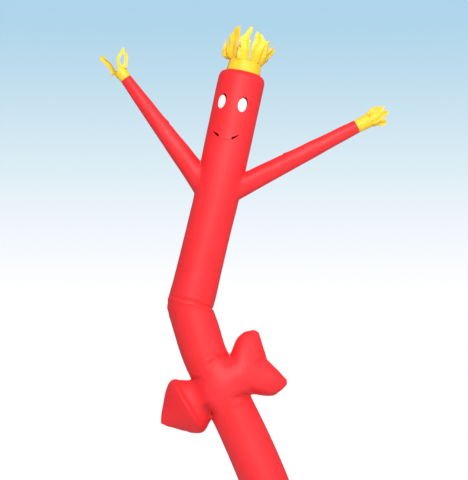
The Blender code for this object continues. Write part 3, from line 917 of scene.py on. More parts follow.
def build_arrow():
    ends = ARROW_TABLE[[0, -1], 0]
    share = np.linspace(0.0, 1.0, 124)
    eased = share - 0.045 * np.sin(4 * math.pi * share) / 2
    along = ends[0] + (ends[1] - ends[0]) * eased
    grid = arrow_grid(along)
    flat_round = np.linspace(0.0, 1.5, ARROW_COLUMNS + 1)
    sheet = rolled(grid, flat_round, along[:, None] + np.zeros(ARROW_COLUMNS))
    close_ends(sheet, len(along))
    sheet.trim(TUBE.distance(sheet.points))
    middle = np.abs((sheet.points - ARROW_CENTRE) @ ARROW_AHEAD) < 0.42
    before = sheet.points.copy()
    sheet.points[middle] = join_at_hips(sheet.points[middle])
    obj = sheet.build("arrow_cloth")
    points = sheet.points
    offset = before - ARROW_CENTRE
    place, across = offset @ ARROW_AHEAD, offset @ ARROW_DOWN
    edge_away = np.abs(before[:, 1])
    round_it = place * 38 + across * 31
    sign = np.sign(before[:, 1])
    outer = np.clip((np.abs(place) - 0.18) / 0.10, 0.0, 1.0)
    pucker = np.sin(round_it) + 0.7 * np.sin(round_it * 0.57 + 1.3 * sign)
    pucker = pucker + 0.5 * np.sin(round_it * 1.63 + 2.0)
    height = outer * 0.0028 * pucker * np.exp(-edge_away / 0.045) * (1 - np.exp(-edge_away / 0.008))
    height += -0.0030 * outer * np.exp(-((edge_away / 0.008) ** 2))
    barb_fold = np.exp(-np.abs(place + 0.388) / 0.012) * np.clip(1 - (np.abs(across) / 0.31) ** 8, 0.0, 1.0)
    height += 0.007 * barb_fold
    height += 0.003 * np.sin(place * 11 + across * 5) * np.sin(across * 13 + 0.7)
    height *= np.where(middle, away_from_seam(TUBE.distance(points), arrow_distance(points)), 1.0)
    height += np.where(middle, hip_seam(points), 0.0)
    raise_cloth(obj, height + crease_height(points))
    return finish_piece(obj, RED_CLOTH, ["arrow"])


def close_ends(sheet, rows):
    """Gathers the tip to a point, and sews the tail's front and back edges together."""
    tip = len(sheet.points)
    sheet.points = np.vstack([sheet.points, sheet.points[:ARROW_COLUMNS].mean(axis=0)])
    for c in range(ARROW_COLUMNS):
        sheet.faces.append((c, tip, (c + 1) % ARROW_COLUMNS))
        sheet.flat.append(((c * 0.008, -0.7), (c * 0.008, -0.71), (c * 0.008 + 0.008, -0.7)))
    last = ARROW_COLUMNS * (rows - 1)
    half = ARROW_COLUMNS // 2
    for c in range(ARROW_COLUMNS // 4, ARROW_COLUMNS * 3 // 4):
        square = (c, c + 1, (half - c - 1) % ARROW_COLUMNS, (half - c) % ARROW_COLUMNS)
        corners = list(dict.fromkeys(square))
        if len(corners) > 2:
            sheet.faces.append(tuple(last + corner for corner in corners))
            sheet.flat.append([(corner * 0.008, 0.61) for corner in corners])


arrow = build_arrow()
print(f"arrow {cloth_area(arrow):.2f} m2")

# %% [markdown]
# ## The cap
#
# The cap is a ring of cloth that narrows the head to the hair. Its cross section is a quarter of an oval,
# and it is gathered at its upper edge, where the ring is smaller.

# %% Head cap
CAP_HEIGHT = 0.085
COLLAR_RADIUS = 0.178
COLLAR_HEIGHT = 0.006
GAP = 0.0003
CROWN = CHEST.centre[-1]
CROWN_AHEAD = CHEST.ahead[-1]
CROWN_RADIUS = CHEST.radius[-1]
HAIR_SEAM = CROWN + CAP_HEIGHT * CROWN_AHEAD


def build_cap():
    share = np.concatenate([[0.0, 0.008, 0.02], np.linspace(0.04, 1.0, 25)])[:, None]
    angle = math.pi / 2 * share
    radius = COLLAR_RADIUS + (CROWN_RADIUS - COLLAR_RADIUS) * np.cos(angle)
    rise = GAP + (CAP_HEIGHT - COLLAR_HEIGHT) * np.sin(angle)
    rise[-1] = CAP_HEIGHT
    gather = 0.0024 * uneven(turns, (23, 37, 52), 0.9) * share**1.5
    size = radius + gather
    centre = CROWN + rise[..., None] * CROWN_AHEAD + np.zeros((1, TUBE_COLUMNS, 1))
    grid = around(centre, right_of(CROWN_AHEAD), size, size, turns)
    sheet = rolled(grid, flat_across, 0.12 * share + 0 * turns)
    obj = sheet.build("cap_cloth")
    along = np.repeat(share, TUBE_COLUMNS)
    raise_cloth(obj, -0.0016 * np.exp(-(((along - 0.93) / 0.05) ** 2)))
    return finish_piece(obj, RED_CLOTH, ["head_cap"])


cap = build_cap()
print(f"cap {cloth_area(cap):.3f} m2")

# %% [markdown]
# ## The arms
#
# The arms are tapered sleeves, scribed to the body where they are sewn on. Each has a soft kink where it
# bends in the wind, and small folds that run round it.

# %% Arms
ARM_COLUMNS = 80
Kink = namedtuple("Kink", "place side")
KINKS = {
    "arm_left": [Kink(0.80, 1.6)],
    "arm_right": [Kink(0.66, -1.5)],
}


def build_arm(name):
    arm = ARMS[name]
    turn = np.linspace(0.0, 2 * math.pi, ARM_COLUMNS, endpoint=False)

    def arm_points(run, turn):
        centre, ahead, radius = arm.at(run)
        return around(centre, right_of(ahead), radius, radius, turn)

    root = first_meeting(np.linspace(0.8, 0.0, 161), arm_points, CHEST.distance, turn)
    level = np.linspace(0.0, 1.0, 116)[:, None]
    run = root.min() + level * (arm.length - root.min())
    skew_to = 0.75
    run = run + np.clip((skew_to - run) / (skew_to - root.min()), 0.0, 1.0) * (root - root.min())
    flat_width = np.linspace(0.0, math.pi * (arm.radius[0] + arm.radius[-1]), ARM_COLUMNS + 1)
    sheet = rolled(arm_points(run, turn + 0 * run), flat_width, run)
    near = run.ravel() < skew_to
    root_points = sheet.points[near]
    sheet.points[near] = settle(root_points, CHEST.distance, arm.distance, arm_reach(root_points))
    obj = sheet.build(name + "_cloth")
    run, turn = run.ravel(), (turn + 0 * run).ravel()
    phase = 1.0 if name == "arm_left" else 2.3
    height = wave_height(run * 1.6, turn, 0.0018, phase)
    height += 0.0008 * uneven(turn, (6, 9), phase) * np.sin(run * 21)
    for kink in KINKS[name]:
        side = (1 + np.cos(turn - kink.side)) / 2
        away = run - kink.place - 0.02 * np.sin(turn)
        bulge = 0.005 * np.exp(-(((away - 0.030) / 0.028) ** 2))
        height += side**2 * (bulge - 0.004 * np.exp(-((away / 0.018) ** 2)))
    height *= away_from_seam(CHEST.distance(sheet.points), arm.distance(sheet.points))
    height += seam_height(arm.length - run, turn, (7, 11, 17), phase, 0.55)
    height += np.where(near, arm_seam(sheet.points, arm, phase), 0.0)
    raise_cloth(obj, height)
    return finish_piece(obj, RED_CLOTH, [name])


arms = [build_arm(name) for name in ARMS]
print("arms", ", ".join(f"{cloth_area(arm):.2f} m2" for arm in arms))

# %% [markdown]
# ## Hair and hands
#
# Hair and hands are yellow cuffs whose far ends are cut into strips. The air that leaves the figure makes
# the strips stand up, flutter and curl. Each strip runs along its own curve from its root through a bend
# to its tip, turns as it goes, and is pleated along its length. It is made as a plain band first. Then
# scissors cut its end to one of a few outlines and open its slits, as a maker does with the flat cloth.

# %% Streamers
Strip = namedtuple("Strip", "turn span bend tip width belly twist end slits")
Cuff = namedtuple("Cuff", "name radius rim_radius height pleat strips")
Slit = namedtuple("Slit", "side middle half_width half_length")

# The cut ends: how far up the strip the cloth reaches, from its left edge (-1) to its right edge (1)
ENDS = {
    "round": [(-1.0, 0.80), (-0.8, 0.91), (-0.45, 0.98), (0.0, 1.0), (0.45, 0.98), (0.8, 0.91), (1.0, 0.80)],
    "slanted": [(-1.0, 0.72), (-0.5, 0.86), (0.0, 0.94), (0.5, 0.99), (0.8, 1.0), (1.0, 0.95)],
    "point": [(-1.0, 0.50), (-0.5, 0.78), (-0.1, 0.97), (0.0, 1.0), (0.2, 0.93), (0.6, 0.74), (1.0, 0.58)],
    "square": [(-1.0, 0.94), (-0.6, 1.0), (-0.1, 0.97), (0.3, 0.99), (0.7, 0.96), (1.0, 0.99)],
    "tall spike": [(-1.0, 0.55), (-0.85, 0.66), (-0.6, 0.72), (-0.3, 0.79), (-0.1, 0.90), (0.1, 0.93),
                   (0.35, 0.91), (0.62, 1.0), (0.8, 0.90), (1.0, 0.80)],
    "one finger": [(-1.0, 0.70), (-0.52, 0.74), (-0.46, 0.90), (-0.3, 0.975), (0.0, 1.0), (0.3, 0.975),
                   (0.46, 0.90), (0.52, 0.70), (1.0, 0.62)],
    "leaf": [(-1.0, 0.60), (-0.7, 0.80), (-0.4, 0.94), (-0.15, 1.0), (0.15, 1.0), (0.4, 0.94), (0.7, 0.80),
             (1.0, 0.60)],
    "ragged": [(-1.0, 0.80), (-0.78, 0.93), (-0.55, 1.0), (-0.3, 0.94), (0.0, 0.925), (0.28, 0.97),
               (0.5, 0.93), (0.68, 0.82), (1.0, 0.76)],
    "two lobes": [(-1.0, 0.84), (-0.6, 1.0), (-0.25, 0.97), (0.0, 0.78), (0.25, 0.90), (0.6, 0.93),
                  (1.0, 0.78)],
}
HAIR = Cuff("hair", COLLAR_RADIUS, 0.166, 0.115, 0.007, [
    Strip(-82.0, 34.0, (-0.214, 0.050, 0.165), (-0.252, 0.040, 0.316), 0.030, 0.050, 50, "point", []),
    Strip(-49.0, 40.0, (-0.158, 0.125, 0.275), (-0.158, 0.115, 0.462), 0.180, 0.000, 8, "tall spike",
          [Slit(-0.45, 0.52, 0.05, 0.06), Slit(0.42, 0.72, 0.07, 0.03)]),
    Strip(-7.5, 43.0, (-0.036, 0.172, 0.270), (-0.016, 0.140, 0.470), 0.098, 0.006, 0, "one finger",
          [Slit(-0.78, 0.46, 0.17, 0.11)]),
    Strip(31.0, 34.0, (0.096, 0.160, 0.270), (0.098, 0.120, 0.428), 0.112, 0.018, -10, "ragged",
          [Slit(0.50, 0.60, 0.10, 0.05)]),
    Strip(62.0, 30.0, (0.170, 0.095, 0.240), (0.186, 0.060, 0.362), 0.074, 0.032, -25, "round",
          [Slit(0.3, 0.66, 0.10, 0.06)]),
    Strip(92.0, 32.0, (0.206, -0.004, 0.214), (0.256, 0.010, 0.332), 0.080, 0.020, -38, "two lobes", []),
    Strip(124.0, 32.0, (0.185, -0.120, 0.230), (0.205, -0.150, 0.300), 0.060, 0.030, 40, "slanted", []),
    Strip(158.0, 36.0, (0.120, -0.190, 0.230), (0.150, -0.230, 0.350), 0.070, 0.020, 0, "point", []),
    Strip(193.0, 34.0, (-0.050, -0.190, 0.240), (-0.062, -0.170, 0.395), 0.075, 0.030, 0, "ragged",
          [Slit(0.2, 0.6, 0.10, 0.08)]),
    Strip(225.0, 30.0, (-0.140, -0.150, 0.220), (-0.160, -0.190, 0.330), 0.060, 0.020, -30, "slanted", []),
    Strip(251.5, 20.0, (-0.185, -0.060, 0.230), (-0.165, -0.060, 0.360), 0.050, 0.030, -40, "round", []),
])
HAND_LEFT = Cuff("hand_left", 0.058, 0.068, 0.105, 0.003, [
    Strip(25.0, 80.0, (0.094, 0.040, 0.186), (0.170, 0.020, 0.272), 0.046, 0.044, -25, "leaf",
          [Slit(0.0, 0.44, 0.42, 0.30)]),
    Strip(-55.0, 80.0, (-0.052, 0.040, 0.222), (-0.086, 0.020, 0.330), 0.060, -0.012, 30, "square",
          [Slit(0.15, 0.55, 0.07, 0.10)]),
    Strip(-110.0, 30.0, (-0.088, 0.000, 0.110), (-0.108, 0.000, 0.104), 0.034, 0.00, 30, "round", []),
    Strip(-154.0, 58.0, (-0.040, -0.070, 0.130), (-0.050, -0.078, 0.165), 0.030, 0.00, 0, "round", []),
    Strip(153.5, 47.0, (0.030, -0.074, 0.120), (0.030, -0.086, 0.140), 0.028, 0.00, 0, "slanted", []),
    Strip(97.5, 65.0, (0.068, -0.010, 0.118), (0.076, -0.020, 0.134), 0.028, 0.00, 0, "round", []),
])
HAND_RIGHT = Cuff("hand_right", 0.067, 0.072, 0.150, 0.004, [
    Strip(-50.0, 60.0, (-0.056, 0.044, 0.230), (-0.078, 0.030, 0.306), 0.052, 0.018, 40, "slanted",
          [Slit(0.2, 0.5, 0.10, 0.12)]),
    Strip(0.0, 40.0, (-0.020, 0.074, 0.250), (-0.046, 0.060, 0.348), 0.052, 0.014, 0, "point", []),
    Strip(38.0, 36.0, (0.026, 0.060, 0.245), (0.004, 0.040, 0.352), 0.054, 0.022, -20, "round",
          [Slit(-0.2, 0.60, 0.10, 0.10)]),
    Strip(85.0, 60.0, (0.070, 0.014, 0.218), (0.104, 0.000, 0.285), 0.068, 0.010, -60, "square", []),
    Strip(144.0, 60.0, (0.040, -0.060, 0.220), (0.050, -0.080, 0.270), 0.044, 0.01, 0, "round", []),
    Strip(202.0, 56.0, (-0.026, -0.070, 0.230), (-0.030, -0.090, 0.300), 0.046, 0.01, 0, "point", []),
    Strip(255.0, 50.0, (-0.070, -0.018, 0.220), (-0.086, -0.030, 0.280), 0.042, 0.01, 0, "slanted", []),
])
STRIP_COLUMNS = 16
STRIP_ROWS = 46
BAND_ROWS = 12
SHARES = np.linspace(-1.0, 1.0, STRIP_COLUMNS + 1)


def strip_rows(strip, number, cuff):
    """The rows of points of one strip, in the cuff's own axes: right, front and up."""
    turn = math.radians(strip.turn)
    half = math.radians(strip.span / 2)
    root = np.array([math.sin(turn) * cuff.rim_radius, math.cos(turn) * cuff.rim_radius, cuff.height])
    tip = np.array(strip.tip)
    pull = 2 * np.array(strip.bend) - (root + tip) / 2
    tangent = np.array([math.cos(turn), -math.sin(turn), 0.0])
    phase = 2.4 * number + 0.8
    sagitta = cuff.rim_radius * (1 - math.cos(half))
    root_width = 2 * cuff.rim_radius * math.sin(half)
    rows = []
    for step in range(1, STRIP_ROWS + 1):
        t = step / STRIP_ROWS
        middle = (1 - t) ** 2 * root + 2 * t * (1 - t) * pull + t**2 * tip
        ahead = unit((1 - t) * (pull - root) + t * (tip - pull))
        flat = unit(tangent - tangent.dot(ahead) * ahead)
        twist = math.radians(strip.twist) * t
        across = math.cos(twist) * flat + math.sin(twist) * np.cross(flat, ahead)
        out = np.cross(across, ahead)
        width = (1 - t) * root_width + t * strip.width + 4 * t * (1 - t) * strip.belly
        size = cuff.pleat * min(1.0, 2.5 * t)
        pleats = np.sin(4.6 * SHARES + phase + 1.5 * math.sin(3 * t + phase))
        sharp = 1 - 2 * np.abs(np.sin(2.1 * SHARES - 0.6 * phase + 1.1 * t))
        puffs = np.sin(15 * t + 1.9 * SHARES + phase) + 0.5 * np.sin(34 * t - 2.7 * SHARES + 2 * phase)
        lift = size * (0.8 * pleats + 0.5 * sharp + 0.45 * puffs) - sagitta * (1 - t) * SHARES**2
        flutter = 1.6 * cuff.pleat * t * math.sin(9 * t + phase)
        rows.append(middle + flutter * across + np.outer(SHARES * width / 2, across) + np.outer(lift, out))
    return rows


def kept(strip, t):
    """What the scissors leave of a row of a strip: positive where there is cloth."""
    sides, reach = zip(*ENDS[strip.end])
    keep = np.interp(SHARES, sides, reach) - t
    for slit in strip.slits:
        away = np.hypot((SHARES - slit.side) / slit.half_width, (t - slit.middle) / slit.half_length)
        keep = np.minimum(keep, (away - 1) * slit.half_length)
    return keep


def build_streamers(cuff, base, ahead):
    strips = sorted(cuff.strips, key=lambda strip: strip.turn)
    turn = np.concatenate([
        np.radians(s.turn - s.span / 2 + s.span * np.arange(STRIP_COLUMNS) / STRIP_COLUMNS) for s in strips
    ])
    count = len(turn)
    level = np.linspace(0.0, 1.0, BAND_ROWS)[:, None]
    radius = cuff.radius + (cuff.rim_radius - cuff.radius) * np.sin(level * math.pi / 2)
    gather = 0.22 * cuff.pleat * uneven(turn, (5, 8, 13), 0.7) * np.sin(math.pi * level) ** 0.7
    size = radius + gather - 0.0016 * np.exp(-((level / 0.06) ** 2))
    height = GAP + (cuff.height - GAP) * level + 0 * turn
    band = np.stack([np.sin(turn) * size, np.cos(turn) * size, height], axis=-1)
    sheet = rolled(band, np.append(turn, turn[0] + 2 * math.pi) * cuff.radius, height)
    points = [band.reshape(-1, 3)]
    keep = [np.ones(band.shape[0] * count)]
    total = band.shape[0] * count
    rim = total - count
    for number, strip in enumerate(strips):
        first = number * STRIP_COLUMNS
        previous = [rim + (first + i) % count for i in range(STRIP_COLUMNS + 1)]
        for step, row in enumerate(strip_rows(strip, number, cuff)):
            current = list(range(total, total + STRIP_COLUMNS + 1))
            total += STRIP_COLUMNS + 1
            points.append(row)
            keep.append(kept(strip, (step + 1) / STRIP_ROWS))
            for i in range(STRIP_COLUMNS):
                sheet.faces.append((previous[i], previous[i + 1], current[i + 1], current[i]))
                u, v = number * 0.2 + i * 0.006, cuff.height + step * 0.007
                sheet.flat.append(((u, v), (u + 0.006, v), (u + 0.006, v + 0.007), (u, v + 0.007)))
            previous = current
    sheet.points = base + np.vstack(points) @ np.stack([right_of(ahead), FRONT, ahead])
    sheet.trim(np.concatenate(keep))
    obj = sheet.build(cuff.name + "_cloth")
    # Painted shade: the cuff's cloth is darkened in a narrow band at its foot, where it meets the cap or the
    # arm.
    up = (sheet.points - base) @ ahead
    shade = obj.data.attributes.new(SHADE, "FLOAT", "POINT")
    shade.data.foreach_set("value", (0.35 * np.exp(-((up / 0.006) ** 2))).astype(np.float32))
    return finish_piece(obj, YELLOW_CLOTH, [cuff.name])


hair = build_streamers(HAIR, HAIR_SEAM, CROWN_AHEAD)
hands = []
for cuff, arm in zip((HAND_LEFT, HAND_RIGHT), ARMS.values()):
    hands.append(build_streamers(cuff, arm.centre[-1], arm.ahead[-1]))
print("streamers", ", ".join(f"{cloth_area(piece):.3f} m2" for piece in [hair, *hands]))

# %% [markdown]
# ## The face
#
# The eyes are white ovals sewn into holes in the head, and a crescent beside each is left open as a vent.
# The smile is a cut that gapes at both ends and is tacked shut in the middle. The cuts go through the
# cloth, so the dark of the inside shows in them. They are cut with a Boolean, because their shapes are
# finer than the mesh.

# %% Eyes and smile
EYE_SPREAD = math.radians(27.5)
EYE_Z = 5.036
HEAD_RADIUS = 0.238
EYE_HALF_WIDTH = 0.046
EYE_HALF_HEIGHT = 0.070
EYE_VENT = np.array([0.010, 0.016])
PLUG_INSIDE, PLUG_OUTSIDE = -0.012, 0.010
MouthPoint = namedtuple("MouthPoint", "turn height half_opening")
# Each end of the smile, from its thin corner to where its lips close
MOUTH = {
    -1: [
        MouthPoint(math.radians(35.0), -0.010, 0.001),
        MouthPoint(math.radians(30.0), -0.022, 0.006),
        MouthPoint(math.radians(25.0), -0.034, 0.010),
        MouthPoint(math.radians(19.5), -0.044, 0.013),
        MouthPoint(math.radians(16.0), -0.050, 0.012),
        MouthPoint(math.radians(14.2), -0.053, 0.006),
    ],
    1: [
        MouthPoint(math.radians(36.0), 0.002, 0.001),
        MouthPoint(math.radians(32.0), -0.014, 0.006),
        MouthPoint(math.radians(27.5), -0.030, 0.010),
        MouthPoint(math.radians(23.0), -0.043, 0.013),
        MouthPoint(math.radians(19.8), -0.051, 0.013),
        MouthPoint(math.radians(18.2), -0.055, 0.007),
    ],
}


def on_head(z, turn, height, outwards=0.0):
    """A point on the head's cloth, at this turn and this height above a place on the centre line."""
    index = np.argmin(np.abs(CHEST.centre[:, 2] - z))
    centre, ahead, radius = CHEST.centre[index], CHEST.ahead[index], CHEST.radius[index]
    outward = math.sin(turn) * right_of(ahead) + math.cos(turn) * FRONT
    return centre + height * ahead + (radius + outwards) * outward


def eye_outline(turn, grow=0.0, vented=False, sides=48):
    """An oval on the head as turns and heights. A vented one is drawn out on the vent's side."""
    points = []
    vent = unit(EYE_VENT)
    for angle in np.linspace(0.0, 2 * math.pi, sides, endpoint=False):
        way = np.array([math.cos(angle), math.sin(angle)])
        place = way * (EYE_HALF_WIDTH + grow, EYE_HALF_HEIGHT + grow)
        facing = unit(way / (EYE_HALF_WIDTH, EYE_HALF_HEIGHT))
        if vented:
            place = place + max(0.0, facing.dot(vent)) * EYE_VENT
        points.append((turn + place[0] / HEAD_RADIUS, place[1]))
    return points


def mouth_outline(side):
    upper = [(FACE_TURN + side * p.turn, p.height + p.half_opening) for p in MOUTH[side]]
    lower = [(FACE_TURN + side * p.turn, p.height - p.half_opening) for p in MOUTH[side]]
    return upper + lower[::-1]


def cutting_plugs():
    """One mesh with a plug for each hole of the face."""
    points, faces = [], []
    outlines = [(mouth_outline(side), MOUTH_Z) for side in (-1, 1)]
    for side in (-1, 1):
        outlines.append((eye_outline(FACE_TURN + side * EYE_SPREAD, 0.0004, vented=True), EYE_Z))
    for outline, z in outlines:
        base, count = len(points), len(outline)
        area = sum(a[0] * b[1] - b[0] * a[1] for a, b in zip(outline, outline[1:] + outline[:1]))
        outline = outline if area > 0 else outline[::-1]
        for outwards in (PLUG_INSIDE, PLUG_OUTSIDE):
            points += [on_head(z, turn, height, outwards) for turn, height in outline]
        for i in range(count):
            j = (i + 1) % count
            faces.append((base + i, base + j, base + count + j, base + count + i))
        faces.append(tuple(range(base + count - 1, base - 1, -1)))
        faces.append(tuple(range(base + count, base + 2 * count)))
    mesh = bpy.data.meshes.new("face plugs")
    mesh.from_pydata(points, [], faces)
    plugs = bpy.data.objects.new("face plugs", mesh)
    scene.collection.objects.link(plugs)
    return plugs


def apply_modifiers(obj):
    """Turns an object's modifiers into its mesh."""
    evaluated = obj.evaluated_get(bpy.context.evaluated_depsgraph_get())
    mesh = bpy.data.meshes.new_from_object(evaluated)
    obj.modifiers.clear()
    obj.data = mesh


def cut_face():
    plugs = cutting_plugs()
    apply_modifiers(body)
    holes = body.modifiers.new("face", "BOOLEAN")
    holes.operation = "DIFFERENCE"
    holes.solver = "EXACT"
    holes.object = plugs
    apply_modifiers(body)
    body.data.set_sharp_from_angle(angle=math.radians(50))
    bpy.data.objects.remove(plugs, do_unlink=True)


def build_eye(word, side):
    turn = FACE_TURN + side * EYE_SPREAD
    outline = eye_outline(turn)
    levels = [1.0, 0.975, 0.93, 0.86, 0.7, 0.5, 0.25]
    lifts = [-0.0006, 0.0012, 0.0006, 0.0016, 0.0020, 0.0022, 0.0024]
    grid = np.array([
        [on_head(EYE_Z, turn + share * (t - turn), share * h, lift) for t, h in outline]
        for share, lift in zip(levels, lifts)
    ])
    flat_round = np.linspace(0.0, 0.38, len(outline) + 1)
    sheet = rolled(grid[:, ::-1], flat_round, 0.06 * (1 - np.array(levels))[:, None] + np.zeros(len(outline)))
    last = len(sheet.points) - len(outline)
    sheet.points = np.vstack([sheet.points, on_head(EYE_Z, turn, 0.0, 0.0024)])
    for i in range(len(outline)):
        j = (i + 1) % len(outline)
        sheet.faces.append((last + i, last + j, len(sheet.points) - 1))
        sheet.flat.append(((i * 0.002, 0.05), (j * 0.002, 0.05), (i * 0.002, 0.06)))
    sheet.faces = [tuple(reversed(face)) for face in sheet.faces]
    sheet.flat = [tuple(reversed(corners)) for corners in sheet.flat]
    obj = sheet.build(f"eye_{word}_cloth")
    return finish_piece(obj, WHITE_CLOTH, [f"eye_{word}"], 0.001)


cut_face()
eyes = [build_eye("left", -1), build_eye("right", 1)]
print("body faces after the cuts:", len(body.data.polygons))

# %% [markdown]
# ## Top stitching
#
# Every seam is sewn twice: once from inside, and once from outside, as a row of stitches that runs a
# little inside the edge of the upper piece. Each stitch is a small thread lozenge laid on the finished
# cloth. The rows are found from the sheets' own edges, so they follow every pucker.

# %% Stitches
STITCH_PITCH = 0.007
STITCH_LENGTH = 0.0052
STITCH_WIDTH = 0.0013
STITCH_SIDES = 6
SHORTEST_RIM = 8


def rims(obj):
    """The closed edges of a sheet: for each its points, and the way over the cloth from each point."""
    mesh = obj.data
    points, normals = read_vectors(mesh.vertices, "co"), read_vectors(mesh.vertex_normals, "vector")
    sides = set()
    for face in mesh.polygons:
        corners = list(face.vertices)
        sides.update(zip(corners, corners[1:] + corners[:1]))
    after = {a: b for a, b in sides if (b, a) not in sides}
    found = []
    while after:
        loop = [min(after)]
        while after.get(loop[-1], loop[0]) != loop[0]:
            loop.append(after.pop(loop[-1]))
        after.pop(loop[-1], None)
        if len(loop) > SHORTEST_RIM:
            line = points[loop]
            ahead = unit(np.roll(line, -1, axis=0) - np.roll(line, 1, axis=0) + 1e-12)
            found.append((line, unit(np.cross(normals[loop], ahead))))
    return found


def inside_rim(obj, inset, chosen=lambda line: True):
    """Closed lines over the cloth, at one distance inside those edges that are chosen."""
    lines = [line + inset * inwards for line, inwards in rims(obj) if chosen(line)]
    return [np.vstack([line, line[:1]]) for line in lines]


def stitch_solid():
    """One stitch along X, with its thickness up Z: points and faces."""
    points = [(-0.5 * STITCH_LENGTH, 0.0, 0.0)]
    for x in (-0.28, 0.28):
        for k in range(STITCH_SIDES):
            angle = 2 * math.pi * k / STITCH_SIDES
            y, z = STITCH_WIDTH / 2 * math.cos(angle), STITCH_WIDTH / 2 * math.sin(angle)
            points.append((x * STITCH_LENGTH, y, z))
    points.append((0.5 * STITCH_LENGTH, 0.0, 0.0))
    faces = []
    for k in range(STITCH_SIDES):
        a, b = 1 + k, 1 + (k + 1) % STITCH_SIDES
        faces.append((0, b, a))
        faces.append((a, b, b + STITCH_SIDES, a + STITCH_SIDES))
        faces.append((len(points) - 1, a + STITCH_SIDES, b + STITCH_SIDES))
    return np.array(points), faces


def sew(obj, lines, thread):
    """Lays a row of stitches along each line, seated on the cloth."""
    mesh = obj.data
    tree = BVHTree.FromPolygons([v.co for v in mesh.vertices], [tuple(f.vertices) for f in mesh.polygons])
    shape, shape_faces = stitch_solid()
    points, faces = [], []
    for line in lines:
        run = np.concatenate([[0.0], np.cumsum(np.linalg.norm(np.diff(line, axis=0), axis=1))])
        wanted = np.arange(0.5 * STITCH_PITCH, run[-1] - 0.3 * STITCH_PITCH, STITCH_PITCH)
        here, there = (
            np.stack([np.interp(place, run, line[:, axis]) for axis in range(3)], axis=1)
            for place in (wanted - 0.002, wanted + 0.002)
        )
        for start, end in zip(here, there):
            seat, normal, _, _ = tree.find_nearest((start + end) / 2)
            up = np.array(normal)
            ahead = unit(end - start - (end - start).dot(up) * up)
            axes = np.stack([ahead, np.cross(up, ahead), up])
            base = len(points) * len(shape)
            points.append(np.array(seat) + 0.0002 * up + shape @ axes)
            faces += [tuple(base + index for index in face) for face in shape_faces]
    stitches = bpy.data.meshes.new(obj.name.replace("cloth", "stitches"))
    stitches.from_pydata(np.vstack(points), [], faces)
    rows = bpy.data.objects.new(stitches.name, stitches)
    scene.collection.objects.link(rows)
    stitches.materials.append(thread)
    stitches.shade_smooth()
    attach(rows, "root")
    return rows


def near_place(place, reach):
    return lambda line: np.linalg.norm(line - place, axis=1).max() < reach


def back_line(points_at, first, last):
    """Two lines up the back of a tube, beside its long seam."""
    run = np.linspace(first, last, 300)
    return [points_at(run, np.full_like(run, math.pi + offset)) for offset in (-0.030, 0.030)]


# How far inside its edge a piece is sewn
SEAM_INSET = 0.007
hem_lines = inside_rim(lower_tube, 0.006, lambda line: line[:, 2].max() < 0.02)
hem_lines += inside_rim(lower_tube, 0.045, lambda line: line[:, 2].max() < 0.02)
hair_line = inside_rim(hair, 0.008, near_place(HAIR_SEAM, COLLAR_RADIUS + 0.02))
stitched = {
    lower_tube: sew(lower_tube, hem_lines + back_line(tube_points, 0.06, 1.9), RED_THREAD),
    arrow: sew(arrow, inside_rim(arrow, 0.008), RED_THREAD),
    cap: sew(cap, inside_rim(cap, SEAM_INSET), RED_THREAD),
    hair: sew(hair, hair_line, YELLOW_THREAD),
}
for piece in arms:
    stitched[piece] = sew(piece, inside_rim(piece, SEAM_INSET), RED_THREAD)
for piece, cuff, arm in zip(hands, (HAND_LEFT, HAND_RIGHT), ARMS.values()):
    lines = inside_rim(piece, 0.006, near_place(arm.centre[-1], cuff.radius + 0.02))
    stitched[piece] = sew(piece, lines, YELLOW_THREAD)
for piece in eyes:
    stitched[piece] = sew(piece, inside_rim(piece, 0.004), WHITE_THREAD)
stitch_points = len(stitch_solid()[0])
counts = {piece.name: len(rows.data.vertices) // stitch_points for piece, rows in stitched.items()}
print("stitches:", counts)

# %% [markdown]
# ## Light and floor
#
# Soft daylight comes from all round, and a wide soft lamp stands behind the camera, so the middle of each
# tube is palest and its sides are deeper. The floor is plain and pale and stays out of the way.

# %% Stage
SKY_LIGHT = 0.47
FLOOR_REACH = 60.0
FLOOR_LEVEL = -0.002
LIT_PLACE = (-0.6, 0.0, 3.4)
# The sky's colour by how steeply one looks up: white at the horizon, and pale blue higher up
SKY = [
    (0.065, (1.0, 1.0, 1.0)),
    (0.096, (0.85, 0.91, 0.97)),
    (0.117, (0.716, 0.847, 0.913)),
    (0.157, (0.509, 0.716, 0.847)),
    (0.175, (0.434, 0.672, 0.831)),
    (0.185, (0.420, 0.668, 0.835)),
    (0.450, (0.88, 0.92, 0.95)),
]


def add_floor():
    mesh = bpy.data.meshes.new("floor")
    ways = ((-1, -1), (1, -1), (1, 1), (-1, 1))
    corners = [(x * FLOOR_REACH, y * FLOOR_REACH, FLOOR_LEVEL) for x, y in ways]
    mesh.from_pydata(corners, [], [(0, 1, 2, 3)])
    floor = bpy.data.objects.new("floor", mesh)
    scene.collection.objects.link(floor)
    finish = Finish("pale floor")
    place = finish.node("ShaderNodeTexCoord", None, None, output=3)
    grain = finish.noise(place, 3.0, 5.0)
    finish.set(Base_Color=finish.mix(grain, opaque((0.80, 0.81, 0.82)), opaque((0.84, 0.845, 0.85))))
    finish.set(Roughness=0.8)
    floor.data.materials.append(finish.material)


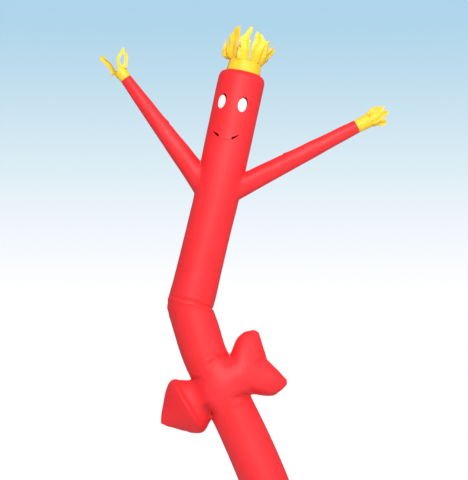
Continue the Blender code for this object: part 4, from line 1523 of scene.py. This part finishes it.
def add_lamp(name, place, size, power):
    data = bpy.data.lights.new(name, "AREA")
    data.shape = "DISK"
    data.size = size
    data.energy = power
    lamp = bpy.data.objects.new(name, data)
    scene.collection.objects.link(lamp)
    lamp.location = place
    aim_at(lamp, LIT_PLACE)


def add_sky():
    """A plain pale sky. It is bright where the camera sees it, and lights the figure only softly."""
    world = bpy.data.worlds.new("soft sky")
    scene.world = world
    world.use_nodes = True
    nodes, links = world.node_tree.nodes, world.node_tree.links
    place = nodes.new("ShaderNodeTexCoord")
    split = nodes.new("ShaderNodeSeparateXYZ")
    ramp = nodes.new("ShaderNodeValToRGB")
    seen = nodes.new("ShaderNodeLightPath")
    strength = nodes.new("ShaderNodeMapRange")
    stops = ramp.color_ramp.elements
    stops.remove(stops[1])
    for number, (height, colour) in enumerate(SKY):
        stop = stops[0] if number == 0 else stops.new(height)
        stop.position, stop.color = height, opaque(colour)
    links.new(place.outputs["Generated"], split.inputs[0])
    links.new(split.outputs["Z"], ramp.inputs[0])
    links.new(ramp.outputs[0], nodes["Background"].inputs[0])
    strength.inputs["To Min"].default_value = SKY_LIGHT
    links.new(seen.outputs["Is Camera Ray"], strength.inputs["Value"])
    links.new(strength.outputs[0], nodes["Background"].inputs[1])


add_floor()
add_sky()
add_lamp("wide lamp", (0.0, -14.0, 10.8), 7.0, 2250.0)
add_lamp("side lamp", (11.0, -7.0, 9.0), 5.0, 350.0)
print("stage ready")

# %% [markdown]
# ## What each sheet was cut from
#
# The size of the flat cloth that each sheet was cut from is listed here, with the share of it that the sheet
# fills; nothing is kept of it.

# %% Flat sizes
def cut_size(piece, width, length, filled=1.0):
    """Works out the area of flat cloth that a piece fills, from its cut size and share, and keeps nothing."""
    rows = [stitched[piece]] if piece in stitched else []
    filled * width * length


cut_size(lower_tube, 1.46, 2.35)
cut_size(body, 1.46, 3.20)
cut_size(arrow, 1.40, 1.50, 0.86)
cut_size(cap, 1.46, 0.10)
for piece, width in zip(arms, (0.81, 0.71)):
    cut_size(piece, width, 1.46, 0.7)
for piece, (width, length) in zip([hair, *hands], ((1.12, 0.44), (0.44, 0.27), (0.46, 0.33))):
    cut_size(piece, width, length, 0.75)
for piece in eyes:
    cut_size(piece, 0.10, 0.148, 0.76)
